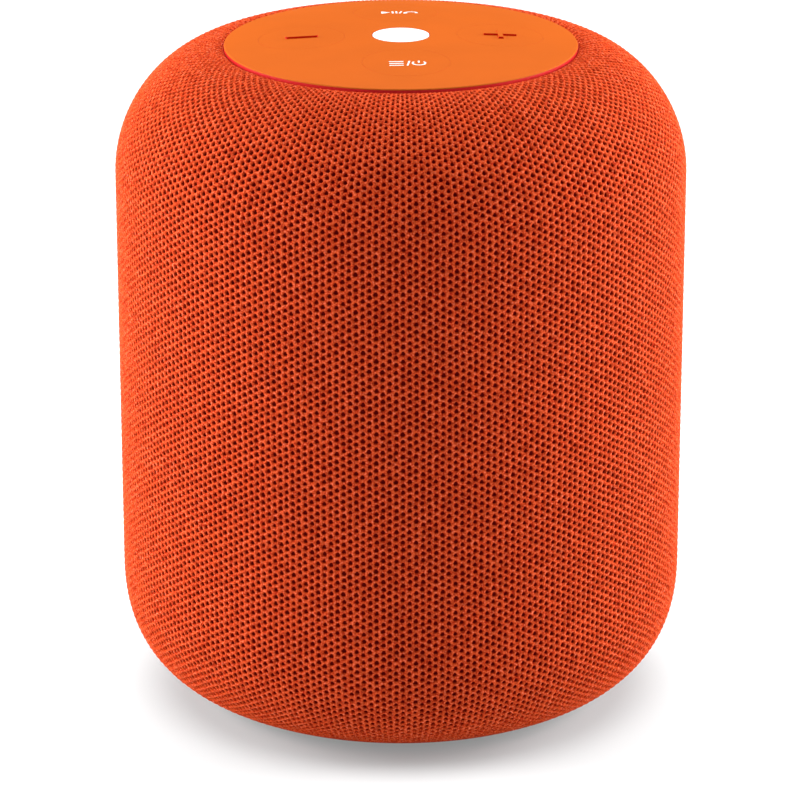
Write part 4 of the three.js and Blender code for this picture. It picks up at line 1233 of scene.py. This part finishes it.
def softened(profile, closed, small):
    """The profile with its gentle corners smoothed and its sharp ones slightly rounded."""
    gentle_turn, longest_share = math.radians(50), 0.42
    points, count = [], len(profile)
    for i, here in enumerate(profile):
        if not closed and i in (0, count - 1):
            points.append(here)
            continue
        before, after = Vector(profile[i - 1]), Vector(profile[(i + 1) % count])
        here = Vector(here)
        to_before, to_after = before - here, after - here
        turn = math.pi - to_before.angle(to_after)
        reach = [longest_share * v.length for v in (to_before, to_after)]
        if turn >= gentle_turn:
            reach = [min(small, each) for each in reach]
        start, end = here + to_before.normalized() * reach[0], here + to_after.normalized() * reach[1]
        for t in (0, 1 / 3, 2 / 3, 1):
            mixed = start * (1 - t) ** 2 + here * 2 * t * (1 - t) + end * t ** 2
            points.append((max(mixed.x, 0.0), mixed.y))
    return points


def smooth_turned(node, slot, body=HOUSING, along="Z", small=0.25 * MM, segments=96):
    profile, centre, closed = meridian(node, along)
    made = turned(f"{node}_turned", softened(profile, closed, small), segments, closed)
    if along == "X":
        made.data.transform(Matrix.Translation((0, centre.y, centre.z)) @ Matrix.Rotation(math.pi / 2, 4, "Y"))
    else:
        made.data.transform(Matrix.Translation((centre.x, centre.y, 0)))
    sharpened(made, 45)
    finish_piece(made, finish_of(slot), body, slot, [node])
    return made


# Each piece's node, slot and body, the axis that it is turned about, and the rounding of its corners.
TURNED_PIECES = (
    ("foot_ring", "rubber_black", HOUSING, "Z", 0.5 * MM),
    ("battery_cell_1", "cell_wrap", HOUSING, "X", 0.4 * MM),
    ("battery_cell_2", "cell_wrap", HOUSING, "X", 0.4 * MM),
    ("storage_capacitor", "capacitor_can", HOUSING, "Z", 0.25 * MM),
    ("driver_top_plate", "steel", HOUSING, "Z", 0.3 * MM),
    ("driver_magnet", "ferrite", HOUSING, "Z", 0.5 * MM),
    ("driver_back_plate", "steel", HOUSING, "Z", 0.4 * MM),
    ("voice_coil", "copper", "driver_voice", "Z", 0.1 * MM),
    ("driver_cone", "paper_cone", "driver_voice", "Z", 0.2 * MM),
    ("dust_cap", "paper_cone", "driver_voice", "Z", 0.2 * MM),
    ("radiator_frame", "plastic_dark", HOUSING, "Z", 0.3 * MM),
    ("radiator_plate", "steel", "radiator", "Z", 0.3 * MM),
)

# Each ring's node and slot, the body that its inner edge goes with, the radius inside which it goes with
# that body, the radius outside which it stays on the housing, and the rounding of its corners.
FLEXING_RINGS = (
    ("driver_surround", "rubber_black", "driver_voice", 24.5 * MM, 28.4 * MM, 0.2 * MM),
    ("driver_spider", "spider_cloth", "driver_voice", 11.4 * MM, 19.6 * MM, 0.7 * MM),
    ("radiator_surround", "rubber_black", "radiator", 22.4 * MM, 29.0 * MM, 0.2 * MM),
)


def flexing_ring(node, slot, moving, moves_inside, still_outside, small, segments=96):
    """A smooth turned ring in place of a CAD node, with the finish of its slot; in the speaker its outer edge
    sits on the housing and its inner edge on a moving body, but moving, moves_inside and still_outside are not
    used.
    """
    profile, centre, closed = meridian(node)
    made = turned(f"{node}_flexing", softened(profile, closed, small), segments, closed)
    sharpened(made, 45)
    made.data.materials.append(finish_of(slot))
    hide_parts(node)
    # The ring's points are laid out by their radius meanwhile, then put back.
    places = [vertex.co.copy() for vertex in made.data.vertices]
    for vertex in made.data.vertices:
        vertex.co = (math.hypot(vertex.co.x, vertex.co.y), 0, vertex.co.z)
    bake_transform(made)
    for vertex, place in zip(made.data.vertices, places):
        vertex.co = place
    made.data.transform(Matrix.Translation((centre.x, centre.y, 0)))
    return made


# ------------------------------------------------------------------ finishes by slot

def circuit_finish():
    made = Finish("circuit_board", (0.02, 0.12, 0.05), Roughness=0.35, Coat_Weight=0.3)
    tracks = made.node("TexBrick", Scale=600)
    tracks.inputs["Color1"].default_value = (0.015, 0.10, 0.04, 1)
    tracks.inputs["Color2"].default_value = (0.02, 0.13, 0.055, 1)
    tracks.inputs["Mortar"].default_value = (0.04, 0.20, 0.09, 1)
    made.link(made.place(), "Vector", tracks, "Vector")
    made.link(tracks, "Color", made.shader, "Base Color")
    made.bump(tracks, "Fac", 0.3, 0.03 * MM)
    return made.material


def cloth_finish(name, colour, weave_size):
    made = Finish(name, colour, Roughness=0.9, Sheen_Weight=0.3, Sheen_Roughness=0.4)
    weave = made.node("TexChecker", Scale=weave_size)
    made.link(made.place(), "Vector", weave, "Vector")
    weave.inputs["Color1"].default_value = (*colour, 1)
    weave.inputs["Color2"].default_value = (*shade(colour, 0.7), 1)
    made.link(weave, "Color", made.shader, "Base Color")
    made.bump(weave, "Fac", 0.4, 0.05 * MM)
    return made.material


def winding_finish():
    made = Finish("copper_winding", (0.75, 0.32, 0.14), Metallic=1.0, Roughness=0.3)
    turns = made.node("TexWave", bands_direction="Z", Scale=1600, Distortion=0.2)
    made.link(made.place(), "Vector", turns, "Vector")
    tint = made.ramp(turns, "Fac", [(0.2, (0.45, 0.16, 0.06)), (0.7, (0.80, 0.36, 0.16))])
    made.link(tint, "Color", made.shader, "Base Color")
    made.bump(turns, "Fac", 0.6, 0.04 * MM)
    return made.material


SLOT_FINISHES = {
    "plastic_black": lambda: moulded_finish("black_plastic", (0.014, 0.014, 0.015)),
    "plastic_dark": lambda: moulded_finish("dark_plastic", (0.028, 0.028, 0.031), 1900, (0.5, 0.68)),
    "rubber_black": lambda: moulded_finish("black_rubber", (0.017, 0.017, 0.018), 1400, (0.75, 0.92), 0.05 * MM),
    "steel": lambda: metal_finish("bright_steel", (0.62, 0.63, 0.65)),
    "zinc": lambda: metal_finish("zinc_plate", (0.50, 0.52, 0.54), (0.32, 0.5), (1, 1, 1)),
    "ferrite": lambda: moulded_finish("ferrite_block", (0.045, 0.045, 0.047), 900, (0.7, 0.85), 0.08 * MM),
    "paper_cone": lambda: cloth_finish("pressed_paper", (0.035, 0.035, 0.037), 2200),
    "spider_cloth": lambda: cloth_finish("spider_weave", (0.60, 0.34, 0.09), 1500),
    "copper": winding_finish,
    "circuit_board": circuit_finish,
    "chip": lambda: moulded_finish("chip_resin", (0.012, 0.012, 0.013), 3200, (0.4, 0.55)),
    "cell_wrap": lambda: moulded_finish("cell_sleeve", (0.03, 0.16, 0.46), 500, (0.22, 0.34), 0.02 * MM),
    "capacitor_can": lambda: metal_finish("capacitor_sleeve", (0.55, 0.57, 0.60), (0.25, 0.35)),
    "lamp": lambda: moulded_finish("lamp_lens", (0.86, 0.84, 0.70), 800, (0.15, 0.25)),
    "white_insulation": lambda: moulded_finish("white_sleeve", (0.75, 0.74, 0.71), 900, (0.45, 0.6)),
    "red_insulation": lambda: moulded_finish("red_sleeve", (0.42, 0.02, 0.016), 900, (0.4, 0.55)),
    "silicone_orange": lambda: bpy.data.materials["orange_silicone"],
    "opal": lambda: bpy.data.materials["opal_window"],
}
MADE_FINISHES = {}


def finish_of(slot):
    if slot not in MADE_FINISHES:
        MADE_FINISHES[slot] = SLOT_FINISHES[slot]()
    return MADE_FINISHES[slot]


def finish_cad_nodes():
    """Gives each CAD piece that stays in view the finish of its slot."""
    for subpart in frame["record"]["subparts"]:
        slot = subpart["material_slot"]
        if slot in SLOT_FINISHES:
            data = frame["nodes"][subpart["node"]].data
            data.materials.clear()
            data.materials.append(finish_of(slot))


# ------------------------------------------------------------------ stage

def area_light(name, place, aim, size, energy):
    data = bpy.data.lights.new(name, "AREA")
    data.shape = "RECTANGLE"
    data.size, data.size_y = size
    data.energy = energy
    made = bpy.data.objects.new(name, data)
    made.location = place
    made.rotation_euler = (Vector(aim) - Vector(place)).to_track_quat("-Z", "Y").to_euler()
    bpy.context.scene.collection.objects.link(made)
    return made


def build_camera(stage):
    data = bpy.data.cameras.new("camera")
    data.lens, data.sensor_width = stage.lens, 36
    data.shift_x = stage.shift
    data.clip_start, data.clip_end = 0.05, 50
    made = bpy.data.objects.new("camera", data)
    bpy.context.scene.collection.objects.link(made)
    level = math.cos(stage.camera_elevation)
    back = Vector((math.sin(stage.camera_azimuth) * level, -math.cos(stage.camera_azimuth) * level,
                   math.sin(stage.camera_elevation)))
    made.location = Vector((0, 0, stage.camera_aim)) + back * stage.camera_distance
    made.rotation_euler = (-back).to_track_quat("-Z", "Y").to_euler()
    bpy.context.scene.camera = made


def build_floor(stage):
    reach = 12.0
    corners = [(-reach, -reach, 0), (reach, -reach, 0), (reach, reach, 0), (-reach, reach, 0)]
    floor = mesh_object("floor", corners, [(0, 1, 2, 3)], smooth=False)
    paint = Finish("floor_paint", (0.68, 0.68, 0.68), Roughness=0.7, Specular_IOR_Level=0.1,
                   Emission_Color=(1, 1, 1, 1), Emission_Strength=stage.floor_glow)
    floor.data.materials.append(paint.material)


def build_lights(stage):
    """A softbox on each side, a broad light from above, and a white backdrop with a little fill."""
    aim, aside, behind, height, size = (0, 0, 0.075), 0.62, 0.06, 0.18, (0.45, 0.5)
    for name, side in (("left_softbox", -1), ("right_softbox", 1)):
        area_light(name, (side * aside, behind, height), aim, size, stage.side_power)
    sun = bpy.data.lights.new("overhead", "SUN")
    sun.energy, sun.angle = stage.overhead_strength, math.radians(75)
    overhead = bpy.data.objects.new("overhead", sun)
    overhead.rotation_euler = (math.radians(-12), 0, 0)
    bpy.context.scene.collection.objects.link(overhead)
    world = bpy.data.worlds.new("studio")
    bpy.context.scene.world = world
    world.use_nodes = True
    tree = world.node_tree
    backdrop, fill = tree.nodes["Background"], tree.nodes.new("ShaderNodeBackground")
    backdrop.inputs["Color"].default_value = (1, 1, 1, 1)
    fill.inputs["Color"].default_value = (1, 1, 1, 1)
    fill.inputs["Strength"].default_value = stage.fill_strength
    path, mix = tree.nodes.new("ShaderNodeLightPath"), tree.nodes.new("ShaderNodeMixShader")
    tree.links.new(path.outputs["Is Camera Ray"], mix.inputs[0])
    tree.links.new(fill.outputs[0], mix.inputs[1])
    tree.links.new(backdrop.outputs[0], mix.inputs[2])
    tree.links.new(mix.outputs[0], tree.nodes["World Output"].inputs[0])
    settings = bpy.context.scene.view_settings
    settings.view_transform, settings.look = "Standard", "None"
    settings.exposure, settings.gamma = 0, 1


# ------------------------------------------------------------------ operators

class SpeakerStep:
    """What every step shares"""

    bl_options = {"REGISTER", "UNDO"}

    @property
    def sizes(self):
        return bpy.context.scene.speaker_sizes

    @property
    def colours(self):
        return bpy.context.scene.speaker_colours


class SPEAKER_OT_stage(SpeakerStep, bpy.types.Operator):
    """Makes the camera, the floor and the studio lights"""

    bl_idname = "speaker.stage"
    bl_label = "Stage"

    def execute(self, context):
        stage = context.scene.speaker_stage
        build_camera(stage)
        build_floor(stage)
        build_lights(stage)
        return {"FINISHED"}


class SPEAKER_OT_knit(SpeakerStep, bpy.types.Operator):
    """Knits the orange sleeve round the drum"""

    bl_idname = "speaker.knit"
    bl_label = "Knitted sleeve"

    def execute(self, context):
        build_knit(self.sizes, self.colours)
        return {"FINISHED"}


class SPEAKER_OT_lining(SpeakerStep, bpy.types.Operator):
    """Lays the dark lining behind the knit"""

    bl_idname = "speaker.lining"
    bl_label = "Sleeve lining"

    def execute(self, context):
        build_lining(self.sizes, self.colours)
        return {"FINISHED"}


class SPEAKER_OT_panel(SpeakerStep, bpy.types.Operator):
    """Moulds the domed control panel"""

    bl_idname = "speaker.panel"
    bl_label = "Control panel"

    def execute(self, context):
        build_panel(self.sizes, self.colours)
        return {"FINISHED"}


class SPEAKER_OT_keys(SpeakerStep, bpy.types.Operator):
    """Makes the key caps with their raised marks and printed symbols"""

    bl_idname = "speaker.keys"
    bl_label = "Keys"

    def execute(self, context):
        build_keys(self.sizes, self.colours)
        build_symbols(self.sizes, self.colours)
        return {"FINISHED"}


class SPEAKER_OT_window(SpeakerStep, bpy.types.Operator):
    """Makes the milky light window in the middle of the panel"""

    bl_idname = "speaker.window"
    bl_label = "Light window"

    def execute(self, context):
        build_window(self.sizes)
        return {"FINISHED"}


class SPEAKER_OT_sockets(SpeakerStep, bpy.types.Operator):
    """Makes the socket panel at the back, with its charging and audio sockets"""

    bl_idname = "speaker.sockets"
    bl_label = "Socket panel"

    def execute(self, context):
        build_port_panel(self.sizes)
        build_charging_socket()
        build_audio_socket()
        return {"FINISHED"}


class SPEAKER_OT_turned(SpeakerStep, bpy.types.Operator):
    """Makes smooth versions of the round pieces"""

    bl_idname = "speaker.turned"
    bl_label = "Turned pieces"

    def execute(self, context):
        for piece in TURNED_PIECES:
            smooth_turned(*piece)
        for ring in FLEXING_RINGS:
            flexing_ring(*ring)
        return {"FINISHED"}


class SPEAKER_OT_finishes(SpeakerStep, bpy.types.Operator):
    """Gives the remaining pieces their finishes"""

    bl_idname = "speaker.finishes"
    bl_label = "Finishes"

    def execute(self, context):
        finish_cad_nodes()
        return {"FINISHED"}


STEPS = (
    SPEAKER_OT_stage, SPEAKER_OT_knit, SPEAKER_OT_lining, SPEAKER_OT_panel, SPEAKER_OT_keys,
    SPEAKER_OT_window, SPEAKER_OT_sockets, SPEAKER_OT_turned, SPEAKER_OT_finishes,
)


class SPEAKER_PT_sidebar(bpy.types.Panel):
    """Lists the steps that build the speaker"""

    bl_idname = "SPEAKER_PT_sidebar"
    bl_label = "Speaker"
    bl_space_type = "VIEW_3D"
    bl_region_type = "UI"
    bl_category = "Speaker"

    def draw(self, context):
        for step in STEPS:
            self.layout.operator(step.bl_idname)
        for group in (context.scene.speaker_sizes, context.scene.speaker_colours, context.scene.speaker_stage):
            box = self.layout.box()
            for name in group.bl_rna.properties.keys():
                if name not in ("rna_type", "name"):
                    box.prop(group, name)


SETTINGS = {"speaker_sizes": SpeakerSizes, "speaker_colours": SpeakerColours, "speaker_stage": SpeakerStage}
CLASSES = (*SETTINGS.values(), *STEPS, SPEAKER_PT_sidebar)


def register():
    for each in CLASSES:
        bpy.utils.register_class(each)
    for name, group in SETTINGS.items():
        setattr(bpy.types.Scene, name, PointerProperty(type=group))


def unregister():
    for name in SETTINGS:
        delattr(bpy.types.Scene, name)
    for each in reversed(CLASSES):
        bpy.utils.unregister_class(each)


def main():
    register()
    for step in STEPS:
        area, name = step.bl_idname.split(".")
        getattr(getattr(bpy.ops, area), name)()
    bpy.context.view_layer.update()


if __name__ == "__main__":
    main()
